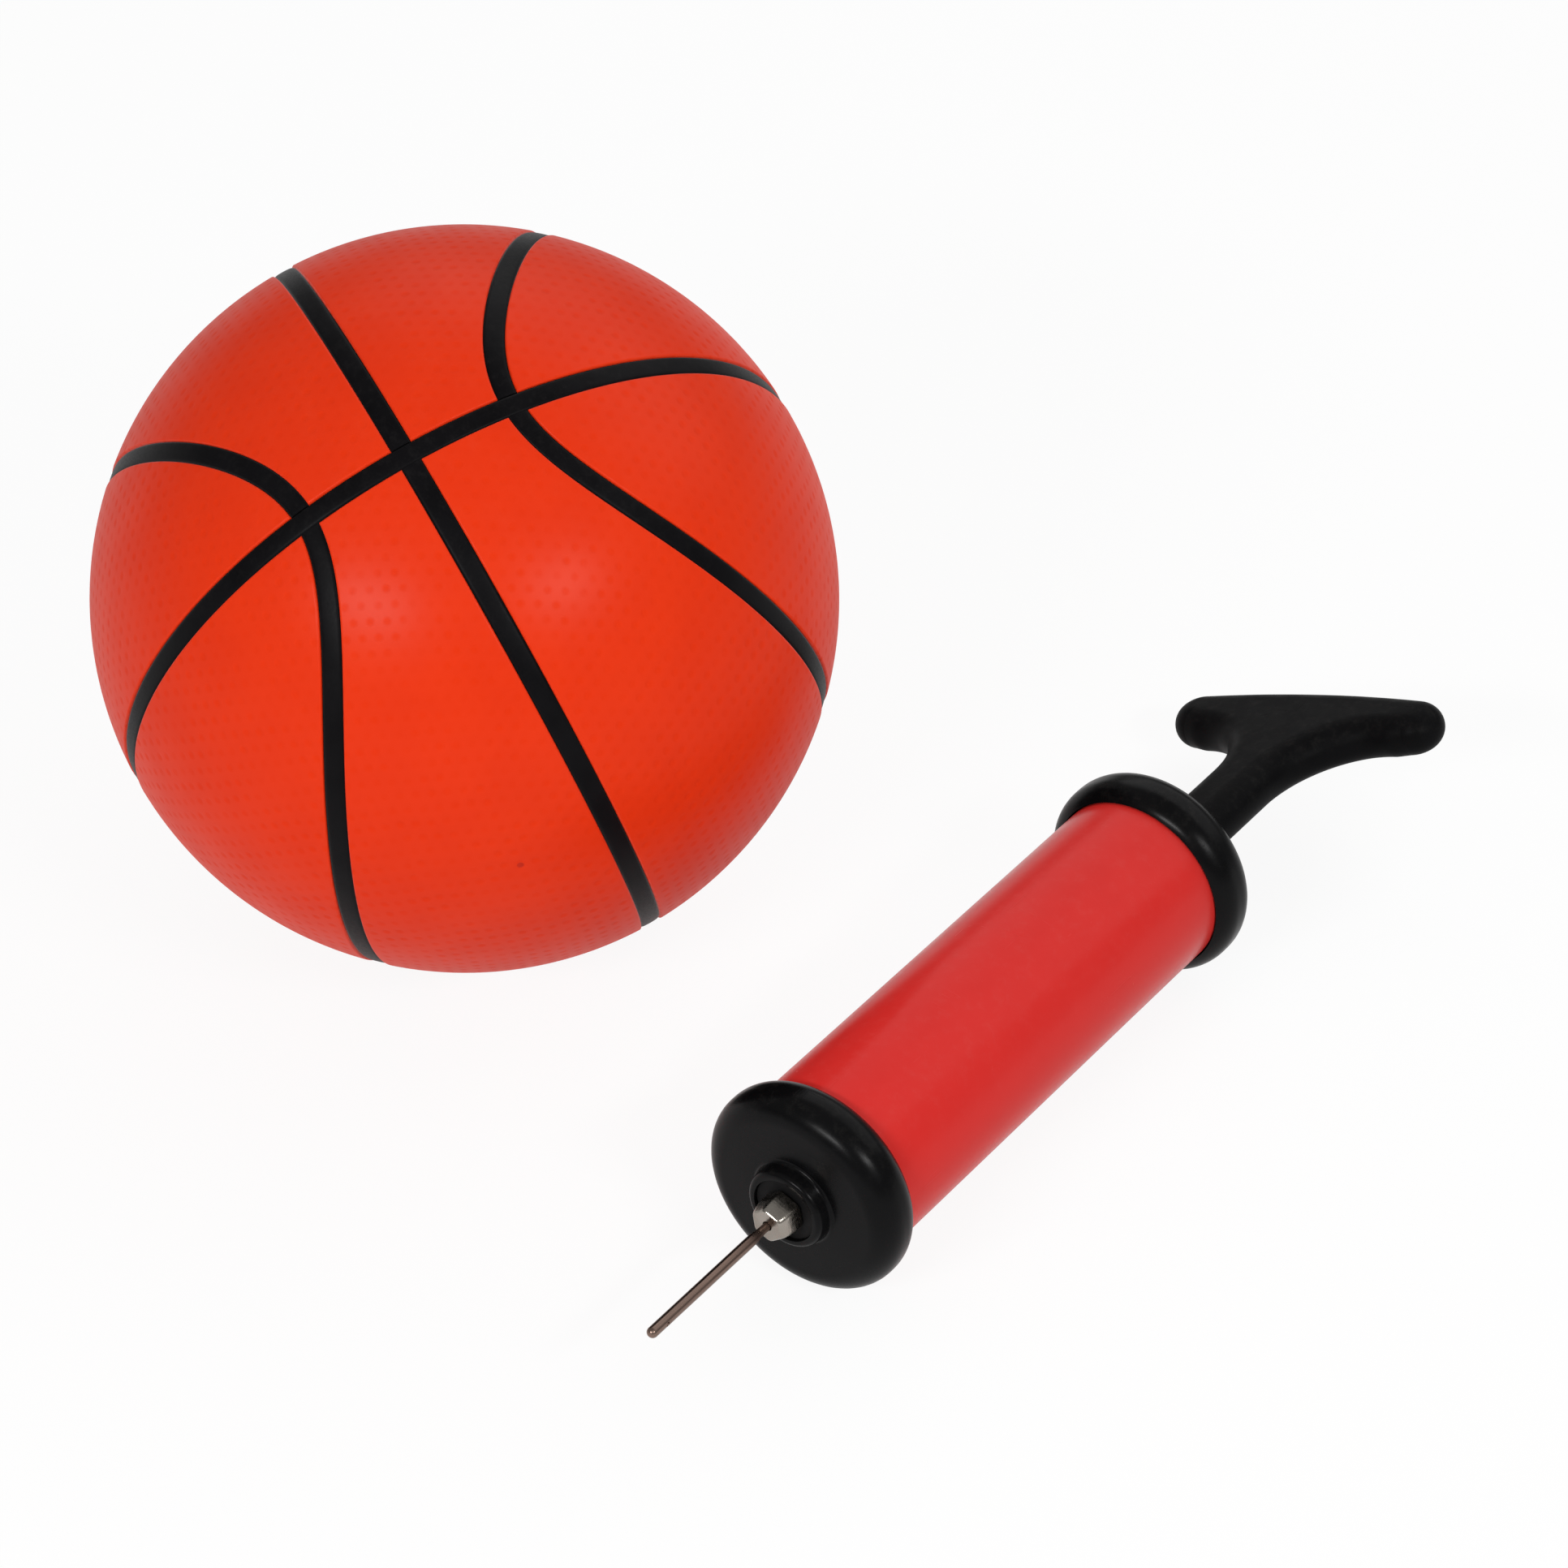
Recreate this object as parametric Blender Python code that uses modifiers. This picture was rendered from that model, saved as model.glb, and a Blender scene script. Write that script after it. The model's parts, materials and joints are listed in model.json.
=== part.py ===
import math

import bmesh
import bpy
from mathutils import Matrix, Vector

# Mini basketball and the hand pump that goes with it, side by side on a floor at Z = 0.
# Lengths are in metres and angles in degrees.

# Fits
FIT = 0.0003                     # gap between pieces that seat on or slide in each other
PISTON_CLEARANCE = 0.0005        # piston flange to barrel bore, all round
VALVE_CLEARANCE = 0.0005         # valve disc to the wall of its chamber, all round
BLADDER_CLEARANCE = 0.0005       # cover to bladder, all round

# Barrel and caps
BARREL_DIAMETER = 0.0340
BARREL_WALL = 0.0018
BARREL_SHOWN = 0.0942            # length between the caps
BARREL_SEAT = 0.0065             # length hidden in each cap
CAP_DIAMETER = 0.0397
CAP_EDGE_RADIUS = 0.0046
FRONT_CAP_LENGTH = 0.0100
REAR_CAP_LENGTH = 0.0105
BOSS_BASE_DIAMETER = 0.0158
BOSS_FRONT_DIAMETER = 0.0150
BOSS_HEIGHT = 0.0030
BOSS_EDGE_RADIUS = 0.0010
HUB_INSET = 0.0010               # end of the front hub, from the cap's mouth
GUIDE_SLEEVE_WALL = 0.0022
GUIDE_SLEEVE_REACH = 0.0022      # how far the rear guide sleeve stands out of the cap's mouth
FRONT_SEAL_SECTION = 0.0014

# Outlet, check valve and needle
PORT_DIAMETER = 0.0030
PORT_LENGTH = 0.0015
VALVE_DISC_DIAMETER = 0.0094
VALVE_DISC_THICKNESS = 0.0012
VALVE_LIFT = 0.0010
INSERT_DIAMETER = 0.0116
INSERT_SLOT_WIDTH = 0.0014
INSERT_SLOT_DEPTH = 0.0010
THREAD_DIAMETER = 0.0077
THREAD_LENGTH = 0.0049
WASHER_THICKNESS = 0.0008
NEEDLE_NECK_DIAMETER = 0.0058
COLLAR_INSET = 0.0004            # collar's shoulder, inside the boss face
COLLAR_DIAMETER = 0.0080
COLLAR_ACROSS_FLATS = 0.0073
COLLAR_FLATS = 6
COLLAR_TURN = -10.0              # how far round the needle happens to be screwed
COLLAR_LENGTH = 0.0041
NOSE_LENGTH = 0.0009
NOSE_DIAMETER = 0.0056
NEEDLE_AIRWAY_DIAMETER = 0.0014
TUBE_DIAMETER = 0.0020
TUBE_BORE = 0.0011
TUBE_SHOWN = 0.0321
TUBE_GRIP = 0.0040               # tube length held in the collar
SIDE_HOLE_DIAMETER = 0.0008
SIDE_HOLE_FROM_TIP = 0.0040

# Plunger and handle
PISTON_FLANGE = 0.0015
PISTON_RING_WIDTH = 0.0024
PISTON_RING_DEPTH = 0.0024
PISTON_NOTCH_WIDTH = 0.0030
PISTON_NOTCHES = 4
ROD_DIAMETER = 0.0110            # circle round the four ribs
ROD_RIB = 0.0022
SPIGOT_DIAMETER = 0.0066
SPIGOT_LENGTH = 0.0140
SPIGOT_ROOT = 0.0060             # spigot length buried among the ribs
HANDLE_THICKNESS = 0.0088        # its edges are full round
NECK_WIDTH = 0.0134
GRIP_GAP = 0.0431                # rear cap to the underside of the bar
FLARE_WIDTH = 0.0195
FLARE_HEIGHT = 0.0218
BAR_LENGTH = 0.0605
BAR_DEPTH = 0.0116
BAR_CROWN = 0.0015
BAR_TAPER = 0.0008               # how far the bar's underside rises towards its ends
HANDLE_ROLL = 23.0

# Ball
BALL_DIAMETER = 0.1343
COVER_THICKNESS = 0.0016
SEAM_CHANNEL = 0.0038
SEAM_RECESS = 0.0005
LOOP_LONG_ANGLE = 72.7           # half angle of a seam loop along the seam ring
LOOP_SHORT_ANGLE = 45.5          # half angle of a seam loop across the seam ring
BLADDER_WALL = 0.0015
VALVE_STEM_DIAMETER = 0.0060
VALVE_STEM_LENGTH = 0.0110
VALVE_FLANGE_DIAMETER = 0.0110
VALVE_FLANGE_THICKNESS = 0.0014
VALVE_FLANGE_DROP = 0.0012       # flange to the bladder's inner wall
NEEDLE_HOLE_DIAMETER = 0.0018
VALVE_POLAR = 104.3              # valve, from the axis of the seam loops
VALVE_AZIMUTH = -65.3            # valve, round that axis from the seam ring
BALL_TURN = (37.3, -56.7, -62.6)  # how the ball happens to lie
BALL_SIT_DEPTH = 0.0006          # flat where the ball's weight presses it on the floor

# Where the two lie
BALL_FROM_AXIS = 0.1116          # ball centre to the pump's axis, across the pump
BALL_FROM_CAP = 0.0417           # ball centre past the front cap's mouth, along the pump

# Facets
CAP_SIDES = 36
SMALL_SIDES = 20
NEEDLE_SIDES = 12
PANEL_COLUMNS = 24
PANEL_ROWS = 5
RING_COLUMNS = 48
BLADDER_SIDES = 24
MERGE = 0.00001

# Stations along the pump's axis, from the front cap's mouth towards the handle
front_face = -FRONT_CAP_LENGTH
boss_face = front_face - BOSS_HEIGHT
front_socket = -BARREL_SEAT - FIT
hub_end = -HUB_INSET
port_seat = hub_end - PORT_LENGTH
disc_top = port_seat - FIT
disc_bottom = disc_top - VALVE_DISC_THICKNESS
insert_inner = disc_bottom - VALVE_LIFT - FIT
insert_step = insert_inner + FIT
collar_shoulder = boss_face + COLLAR_INSET
washer_bottom = collar_shoulder + FIT
washer_top = washer_bottom + WASHER_THICKNESS
insert_outer = washer_top + FIT
thread_end = insert_outer + THREAD_LENGTH
collar_end = collar_shoulder - COLLAR_LENGTH
nose_end = collar_end - NOSE_LENGTH
tube_seat = nose_end + TUBE_GRIP
needle_tip = nose_end - TUBE_SHOWN
rear_mouth = BARREL_SHOWN
rear_face = rear_mouth + REAR_CAP_LENGTH
rear_socket = rear_mouth + BARREL_SEAT + FIT
sleeve_end = rear_mouth - GUIDE_SLEEVE_REACH
piston_front = hub_end + FIT
front_flange_back = piston_front + PISTON_FLANGE
ring_front = front_flange_back + FIT
ring_back = ring_front + PISTON_RING_WIDTH
rear_flange_front = ring_back + FIT
piston_back = rear_flange_front + PISTON_FLANGE
neck_base = rear_face + FIT
spigot_end = neck_base + SPIGOT_LENGTH

# Radii
barrel_radius = BARREL_DIAMETER / 2
bore_radius = barrel_radius - BARREL_WALL
socket_radius = barrel_radius + FIT
hub_radius = bore_radius - FIT
seal_groove_radius = hub_radius - FRONT_SEAL_SECTION - FIT
cap_radius = CAP_DIAMETER / 2
edge_centre = cap_radius - CAP_EDGE_RADIUS
lip_angle = math.degrees(math.acos((socket_radius - edge_centre) / CAP_EDGE_RADIUS))
chamber_radius = VALVE_DISC_DIAMETER / 2 + VALVE_CLEARANCE
insert_radius = INSERT_DIAMETER / 2
insert_bore = insert_radius + FIT
thread_radius = THREAD_DIAMETER / 2
rod_radius = ROD_DIAMETER / 2
guide_radius = rod_radius + FIT
sleeve_radius = guide_radius + GUIDE_SLEEVE_WALL
piston_radius = bore_radius - PISTON_CLEARANCE
ring_outer = bore_radius - FIT
ring_inner = ring_outer - PISTON_RING_DEPTH
groove_radius = ring_inner - FIT
ball_radius = BALL_DIAMETER / 2
cover_inner = ball_radius - COVER_THICKNESS
bladder_outer = cover_inner - BLADDER_CLEARANCE
bladder_inner = bladder_outer - BLADDER_WALL

# Handle, on the middle line that its round edges are drawn about
edge_radius = HANDLE_THICKNESS / 2
neck_spine = NECK_WIDTH / 2 - edge_radius
bar_under = rear_face + GRIP_GAP + edge_radius
end_radius = BAR_DEPTH / 2 - edge_radius
bar_end_middle = bar_under + BAR_TAPER + end_radius
bar_back = bar_end_middle + end_radius + BAR_CROWN
bar_end = BAR_LENGTH / 2 - edge_radius

# Half angles that the seam channel and its strip cover, seen from the ball's centre
channel_angle = SEAM_CHANNEL / 2 / ball_radius
strip_angle = (SEAM_CHANNEL / 2 - FIT) / ball_radius

# The set is centred on the origin and stands on Z = 0
handle_side = (bar_end - end_radius) * math.cos(math.radians(HANDLE_ROLL)) + end_radius + edge_radius
set_width = ball_radius + BALL_FROM_AXIS + handle_side
set_length = bar_back + edge_radius - needle_tip
axis_height = cap_radius * math.cos(math.pi / CAP_SIDES)
pump_place = Vector((set_width / 2 - handle_side, -set_length / 2 - needle_tip, axis_height))
ball_height = ball_radius - BALL_SIT_DEPTH
ball_place = Vector((pump_place.x - BALL_FROM_AXIS, pump_place.y + BALL_FROM_CAP, ball_height))


def collection(name):
    group = bpy.data.collections.new(name)
    bpy.context.scene.collection.children.link(group)
    return group


def linear(level):
    share = level / 255
    return share / 12.92 if share <= 0.04045 else ((share + 0.055) / 1.055) ** 2.4


def material(name, colour, roughness, metallic=0.0):
    made = bpy.data.materials.new(name)
    made.use_nodes = True
    shader = made.node_tree.nodes["Principled BSDF"]
    shader.inputs["Base Color"].default_value = (*[linear(level) for level in colour], 1.0)
    shader.inputs["Roughness"].default_value = roughness
    shader.inputs["Metallic"].default_value = metallic
    return made


def empty(name, place, turn):
    item = bpy.data.objects.new(name, None)
    item.location = place
    item.rotation_euler = [math.radians(angle) for angle in turn]
    parts.objects.link(item)
    return item


def add(name, mesh, parent, look):
    item = bpy.data.objects.new(name, mesh)
    item.parent = parent
    mesh.materials.append(material(name, *look))
    parts.objects.link(item)
    return item


def add_cutter(name, mesh, parent):
    item = bpy.data.objects.new(name, mesh)
    item.parent = parent
    item.hide_render = True
    item.display_type = "WIRE"
    cutters.objects.link(item)
    return item


def combine(item, other, operation):
    step = item.modifiers.new(other.name, "BOOLEAN")
    step.operation = operation
    step.solver = "EXACT"
    step.object = other


def block(name, low, high):
    mesh = bpy.data.meshes.new(name)
    shape = bmesh.new()
    size = Vector(high) - Vector(low)
    middle = (Vector(high) + Vector(low)) / 2
    place = Matrix.Translation(middle) @ Matrix.Diagonal((*size, 1.0))
    bmesh.ops.create_cube(shape, size=1.0, matrix=place)
    shape.to_mesh(mesh)
    shape.free()
    return mesh


def rod(name, radius, low, high, sides):
    mesh = bpy.data.meshes.new(name)
    shape = bmesh.new()
    place = Matrix.Translation((0, 0, (low + high) / 2)) @ Matrix.Rotation(math.pi / sides, 4, "Z")
    bmesh.ops.create_cone(shape, cap_ends=True, segments=sides, radius1=radius, radius2=radius,
                          depth=high - low, matrix=place)
    shape.to_mesh(mesh)
    shape.free()
    return mesh


def arc(centre, radius, start, end, steps):
    angles = [math.radians(start + (end - start) * step / steps) for step in range(steps + 1)]
    return [(centre[0] + radius * math.cos(a), centre[1] + radius * math.sin(a)) for a in angles]


def turned(name, profile, closed, sides, parent, look):
    # A flat of the turned shape faces straight down, so the profile starts half a step round
    start = math.pi / sides
    points = [(x * math.cos(start), x * math.sin(start), z) for x, z in profile]
    edges = [(index, index + 1) for index in range(len(points) - 1)]
    if closed:
        edges.append((len(points) - 1, 0))
    mesh = bpy.data.meshes.new(name)
    mesh.from_pydata(points, edges, [])
    item = add(name, mesh, parent, look)
    screw = item.modifiers.new("Turn", "SCREW")
    screw.axis = "Z"
    screw.steps = sides
    screw.render_steps = sides
    screw.use_merge_vertices = True
    screw.merge_threshold = MERGE
    return item


def make_barrel():
    top = BARREL_SHOWN + BARREL_SEAT
    profile = [(barrel_radius, top), (barrel_radius, -BARREL_SEAT), (bore_radius, -BARREL_SEAT),
               (bore_radius, top)]
    turned("barrel", profile, True, CAP_SIDES, pump, RED_PLASTIC)


def make_front_cap():
    groove_middle = (front_socket + hub_end) / 2
    groove_half = FRONT_SEAL_SECTION / 2 + FIT
    boss_front = BOSS_FRONT_DIAMETER / 2
    profile = arc((edge_centre, -CAP_EDGE_RADIUS), CAP_EDGE_RADIUS, lip_angle, 0, 4)
    profile += arc((edge_centre, front_face + CAP_EDGE_RADIUS), CAP_EDGE_RADIUS, 0, -90, 5)
    profile += [(BOSS_BASE_DIAMETER / 2, front_face)]
    profile += arc((boss_front - BOSS_EDGE_RADIUS, boss_face + BOSS_EDGE_RADIUS), BOSS_EDGE_RADIUS, 0, -90, 2)
    profile += [(insert_bore, boss_face), (insert_bore, insert_step), (chamber_radius, insert_step)]
    profile += [(chamber_radius, port_seat), (PORT_DIAMETER / 2, port_seat), (PORT_DIAMETER / 2, hub_end)]
    profile += [(hub_radius, hub_end), (hub_radius, groove_middle + groove_half)]
    profile += [(seal_groove_radius, groove_middle + groove_half)]
    profile += [(seal_groove_radius, groove_middle - groove_half), (hub_radius, groove_middle - groove_half)]
    profile += [(hub_radius, front_socket), (socket_radius, front_socket)]
    turned("front_cap", profile, True, CAP_SIDES, pump, BLACK_PLASTIC)
    section = arc((hub_radius - FRONT_SEAL_SECTION / 2, groove_middle), FRONT_SEAL_SECTION / 2, 120, -180, 5)
    turned("front_seal_ring", section, True, CAP_SIDES, pump, BLACK_RUBBER)


def make_rear_cap():
    profile = [(guide_radius, rear_face)]
    profile += arc((edge_centre, rear_face - CAP_EDGE_RADIUS), CAP_EDGE_RADIUS, 90, 0, 5)
    profile += arc((edge_centre, rear_mouth + CAP_EDGE_RADIUS), CAP_EDGE_RADIUS, 0, -lip_angle, 4)
    profile += [(socket_radius, rear_socket), (sleeve_radius, rear_socket), (sleeve_radius, sleeve_end)]
    profile += [(guide_radius, sleeve_end)]
    turned("rear_cap", profile, True, CAP_SIDES, pump, BLACK_PLASTIC)


def make_outlet():
    bore = thread_radius + FIT
    profile = [(insert_radius, insert_inner), (insert_radius, insert_outer), (bore, insert_outer),
               (bore, insert_inner)]
    insert = turned("nozzle_insert", profile, True, SMALL_SIDES, pump, BRASS)
    half = INSERT_SLOT_WIDTH / 2
    floor = insert_inner - INSERT_SLOT_DEPTH
    top = insert_inner + INSERT_SLOT_DEPTH
    slot_x = block("insert_slot_x", (-INSERT_DIAMETER, -half, floor), (INSERT_DIAMETER, half, top))
    slot_y = block("insert_slot_y", (-half, -INSERT_DIAMETER, floor), (half, INSERT_DIAMETER, top))
    combine(insert, add_cutter("insert_slot_x", slot_x, pump), "DIFFERENCE")
    combine(insert, add_cutter("insert_slot_y", slot_y, pump), "DIFFERENCE")
    disc = rod("valve_disc", VALVE_DISC_DIAMETER / 2, disc_bottom, disc_top, SMALL_SIDES)
    add("valve_disc", disc, pump, BLACK_RUBBER)


def make_needle():
    neck = NEEDLE_NECK_DIAMETER / 2
    washer = [(insert_radius, washer_top), (insert_radius, washer_bottom), (neck + FIT, washer_bottom),
              (neck + FIT, washer_top)]
    turned("needle_washer", washer, True, SMALL_SIDES, pump, BLACK_RUBBER)

    airway = NEEDLE_AIRWAY_DIAMETER / 2
    tube = TUBE_DIAMETER / 2
    collar = COLLAR_DIAMETER / 2
    nose = NOSE_DIAMETER / 2
    profile = [(airway, thread_end), (thread_radius, thread_end), (thread_radius, insert_outer)]
    profile += [(neck, insert_outer), (neck, collar_shoulder), (collar, collar_shoulder)]
    profile += [(collar, collar_end)]
    for step in range(1, 5):
        angle = math.radians(90 * step / 4)
        drop = NOSE_LENGTH * math.sin(angle)
        profile.append((nose + (collar - nose) * math.cos(angle), collar_end - drop))
    profile += [(tube + FIT, nose_end), (tube + FIT, tube_seat), (airway, tube_seat)]
    fitting = turned("needle_collar", profile, True, 2 * NEEDLE_SIDES, pump, NICKEL)
    flat = block("collar_flat", (COLLAR_ACROSS_FLATS / 2, -COLLAR_DIAMETER, nose_end - NOSE_LENGTH),
                 (COLLAR_DIAMETER, COLLAR_DIAMETER, (collar_shoulder + insert_outer) / 2))
    for index in range(COLLAR_FLATS):
        cutter = add_cutter(f"collar_flat_{index + 1}", flat, pump)
        cutter.rotation_euler = (0, 0, math.radians(COLLAR_TURN) + math.tau * index / COLLAR_FLATS)
        combine(fitting, cutter, "DIFFERENCE")

    bore = TUBE_BORE / 2
    profile = [(0, needle_tip + TUBE_DIAMETER), (bore, needle_tip + TUBE_DIAMETER), (bore, tube_seat - FIT)]
    profile += [(tube, tube_seat - FIT)]
    profile += arc((0, needle_tip + tube), tube, 0, -90, 3)
    needle = turned("needle_tube", profile, False, NEEDLE_SIDES, pump, STEEL)
    hole = add_cutter("side_hole", rod("side_hole", SIDE_HOLE_DIAMETER / 2, 0, TUBE_DIAMETER, 8), pump)
    hole.location = (0, 0, needle_tip + SIDE_HOLE_FROM_TIP)
    hole.rotation_euler = (0, math.pi / 2, 0)
    combine(needle, hole, "DIFFERENCE")


def make_plunger():
    ring = [(ring_outer, ring_back), (ring_outer, ring_front), (ring_inner, ring_front)]
    ring += [(ring_inner, ring_back)]
    turned("piston_ring", ring, True, CAP_SIDES, pump, BLACK_RUBBER)

    profile = [(0, piston_back), (piston_radius, piston_back), (piston_radius, rear_flange_front)]
    profile += [(groove_radius, rear_flange_front), (groove_radius, front_flange_back)]
    profile += [(piston_radius, front_flange_back), (piston_radius, piston_front), (0, piston_front)]
    plunger = turned("plunger_rod", profile, False, CAP_SIDES, pump, BLACK_PLASTIC)
    half = ROD_RIB / 2
    reach = math.sqrt(rod_radius ** 2 - half ** 2)
    rib_x = block("rod_rib_x", (-reach, -half, ring_back), (reach, half, rear_face))
    rib_y = block("rod_rib_y", (-half, -reach, ring_back), (half, reach, rear_face))
    spigot = rod("rod_spigot", SPIGOT_DIAMETER / 2, rear_face - SPIGOT_ROOT, spigot_end, SMALL_SIDES)
    for mesh in (rib_x, rib_y, spigot):
        combine(plunger, add_cutter(mesh.name, mesh, pump), "UNION")

    # The piston's front flange is notched, so the ring lets air past on the pull and seals on the push
    half_notch = PISTON_NOTCH_WIDTH / 2
    notch = block("piston_notch", (groove_radius + FIT, -half_notch, piston_front - PISTON_FLANGE),
                  (bore_radius, half_notch, ring_front))
    for index in range(PISTON_NOTCHES):
        cutter = add_cutter(f"piston_notch_{index + 1}", notch, pump)
        cutter.rotation_euler = (0, 0, math.tau * (index + 0.5) / PISTON_NOTCHES)
        combine(plunger, cutter, "DIFFERENCE")


def handle_outline():
    start = neck_base - edge_radius
    flare_centre = (neck_spine + FLARE_WIDTH, bar_under - FLARE_HEIGHT)
    side = [(neck_spine, start)]
    for step in range(11):
        angle = math.radians(180 - 90 * step / 10)
        side.append((flare_centre[0] + FLARE_WIDTH * math.cos(angle),
                     flare_centre[1] + FLARE_HEIGHT * math.sin(angle)))
    side += arc((bar_end - end_radius, bar_end_middle), end_radius, -90, 90, 6)
    half = bar_end - end_radius
    for step in range(1, 5):
        across = half * (1 - step / 5)
        side.append((across, bar_back - BAR_CROWN * (across / half) ** 2))
    other = [(-x, y) for x, y in reversed(side)]
    return side + [(0, bar_back)] + other


def make_handle():
    outline = handle_outline()
    flat = bpy.data.curves.new("handle_outline", "CURVE")
    flat.dimensions = "2D"
    flat.fill_mode = "BOTH"
    flat.bevel_depth = edge_radius
    flat.bevel_resolution = 2
    spline = flat.splines.new("POLY")
    spline.points.add(len(outline) - 1)
    for point, (x, y) in zip(spline.points, outline):
        point.co = (x, y, 0, 1)
    spline.use_cyclic_u = True
    guide = bpy.data.objects.new("handle_outline", flat)
    cutters.objects.link(guide)
    mesh = bpy.data.meshes.new_from_object(guide.evaluated_get(bpy.context.evaluated_depsgraph_get()))
    bpy.data.objects.remove(guide)
    shape = bmesh.new()
    shape.from_mesh(mesh)
    bmesh.ops.remove_doubles(shape, verts=shape.verts, dist=MERGE)
    bmesh.ops.recalc_face_normals(shape, faces=shape.faces)
    shape.to_mesh(mesh)
    shape.free()
    mesh.name = "handle"
    mesh.materials.clear()
    handle = add("handle", mesh, pump, SATIN_BLACK)
    handle.rotation_euler = (math.pi / 2, 0, -math.radians(HANDLE_ROLL))

    foot = block("handle_foot", (-NECK_WIDTH, -NECK_WIDTH, neck_base - NECK_WIDTH),
                 (NECK_WIDTH, NECK_WIDTH, neck_base))
    combine(handle, add_cutter("handle_foot", foot, pump), "DIFFERENCE")
    socket = rod("handle_socket", SPIGOT_DIAMETER / 2 + FIT, neck_base - SPIGOT_LENGTH, spigot_end + FIT,
                 SMALL_SIDES)
    combine(handle, add_cutter("handle_socket", socket, pump), "DIFFERENCE")


def on_sphere(polar, azimuth):
    # Polar angle from the axis of the seam loops, local Y; azimuth round it from the seam ring's plane
    return Vector((math.sin(polar) * math.cos(azimuth), math.cos(polar), math.sin(polar) * math.sin(azimuth)))


def loop_polar(azimuth, offset):
    # Each loop is the cone of an ellipse cut by the ball, and offset is measured square to it
    long_part = 1 / math.tan(math.radians(LOOP_LONG_ANGLE)) ** 2
    short_part = 1 / math.tan(math.radians(LOOP_SHORT_ANGLE)) ** 2
    spread = long_part * math.cos(azimuth) ** 2 + short_part * math.sin(azimuth) ** 2
    polar = math.atan(1 / math.sqrt(spread))
    lean = math.sin(azimuth) * math.cos(azimuth) * (long_part - short_part)
    slope = lean / (math.sqrt(spread) * (1 + spread))
    return polar + offset * math.sqrt(1 + (slope / math.sin(polar)) ** 2)


def band_point(inner, outer, across, along):
    # A band between two curves round the loop axis, whose ends stop at the seam ring's channel
    azimuth = math.pi * along
    for _ in range(4):
        polar = inner(azimuth) + (outer(azimuth) - inner(azimuth)) * across
        edge = math.asin(math.sin(channel_angle) / math.sin(polar))
        azimuth = edge + (math.pi - 2 * edge) * along
    return on_sphere(polar, azimuth)


def cap_point(across, along):
    # Half of a loop's inside: lines square to the seam ring's channel, out to the loop's channel
    azimuth = math.pi * along
    for _ in range(6):
        polar = loop_polar(azimuth, -channel_angle)
        edge = math.asin(math.sin(channel_angle) / math.sin(polar))
        azimuth = edge + (math.pi - 2 * edge) * along
    far = math.tan(polar) * math.sin(azimuth)
    side = math.tan(polar) * math.cos(azimuth)
    near = math.tan(channel_angle) * math.sqrt(1 + side ** 2)
    return Vector((side, 1, near + (far - near) * across)).normalized()


def ring_point(across, along):
    tilt = strip_angle * (2 * across - 1)
    turn = math.tau * along
    return Vector((math.cos(tilt) * math.cos(turn), math.cos(tilt) * math.sin(turn), math.sin(tilt)))


def ball_patch(name, shape_of, columns, rows, radius, thickness, signs, look):
    # A grid laid on the ball by a formula, then given its thickness inwards
    shape = bmesh.new()
    bmesh.ops.create_grid(shape, x_segments=columns, y_segments=rows, size=0.5)
    for vertex in shape.verts:
        point = shape_of(vertex.co.y + 0.5, vertex.co.x + 0.5)
        vertex.co = radius * Vector((point.x, signs[0] * point.y, signs[1] * point.z))
    bmesh.ops.remove_doubles(shape, verts=shape.verts, dist=MERGE)
    shape.normal_update()
    inward = [face for face in shape.faces if face.normal.dot(face.calc_center_median()) < 0]
    bmesh.ops.reverse_faces(shape, faces=inward)
    mesh = bpy.data.meshes.new(name)
    shape.to_mesh(mesh)
    shape.free()
    mesh.shade_smooth()
    item = add(name, mesh, ball, look)
    wall = item.modifiers.new("Wall", "SOLIDIFY")
    wall.thickness = thickness
    wall.offset = -1
    return item


def make_cover():
    def equator(azimuth):
        return math.pi / 2 - channel_angle

    def outside_loop(azimuth):
        return loop_polar(azimuth, channel_angle)

    def between(across, along):
        return band_point(outside_loop, equator, across, along)

    quarters = [(y, z) for y in (1, -1) for z in (1, -1)]
    panels = []
    for form in (between, cap_point):
        for signs in quarters:
            name = f"cover_panel_{len(panels) + 1}"
            panel = ball_patch(name, form, PANEL_COLUMNS, PANEL_ROWS, ball_radius, COVER_THICKNESS, signs,
                               ORANGE_RUBBER)
            panels.append(panel)
    floor = add_cutter("floor", block("floor", (-1, -1, -1), (1, 1, 0)), None)
    needle_hole = rod("needle_hole", NEEDLE_HOLE_DIAMETER / 2, bladder_outer, 2 * ball_radius, 8)
    hole = add_cutter("needle_hole", needle_hole, ball)
    hole.rotation_euler = valve_turn
    for panel in panels:
        combine(panel, floor, "DIFFERENCE")
        combine(panel, hole, "DIFFERENCE")


def make_seams():
    radius = ball_radius - SEAM_RECESS
    thickness = COVER_THICKNESS - SEAM_RECESS
    ball_patch("seam_ring", ring_point, RING_COLUMNS, 1, radius, thickness, (1, 1), BLACK_RUBBER)

    def half_seam(across, along):
        return band_point(lambda azimuth: math.pi / 2 - strip_angle,
                          lambda azimuth: math.pi / 2 + strip_angle, across, along)

    def loop_seam(across, along):
        return band_point(lambda azimuth: loop_polar(azimuth, -strip_angle),
                          lambda azimuth: loop_polar(azimuth, strip_angle), across, along)

    for index, z in enumerate((1, -1)):
        name = f"seam_half_{index + 1}"
        ball_patch(name, half_seam, PANEL_COLUMNS, 1, radius, thickness, (1, z), BLACK_RUBBER)
    for index, signs in enumerate([(y, z) for y in (1, -1) for z in (1, -1)]):
        name = f"seam_loop_{index + 1}"
        ball_patch(name, loop_seam, PANEL_COLUMNS, 1, radius, thickness, signs, BLACK_RUBBER)


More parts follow.
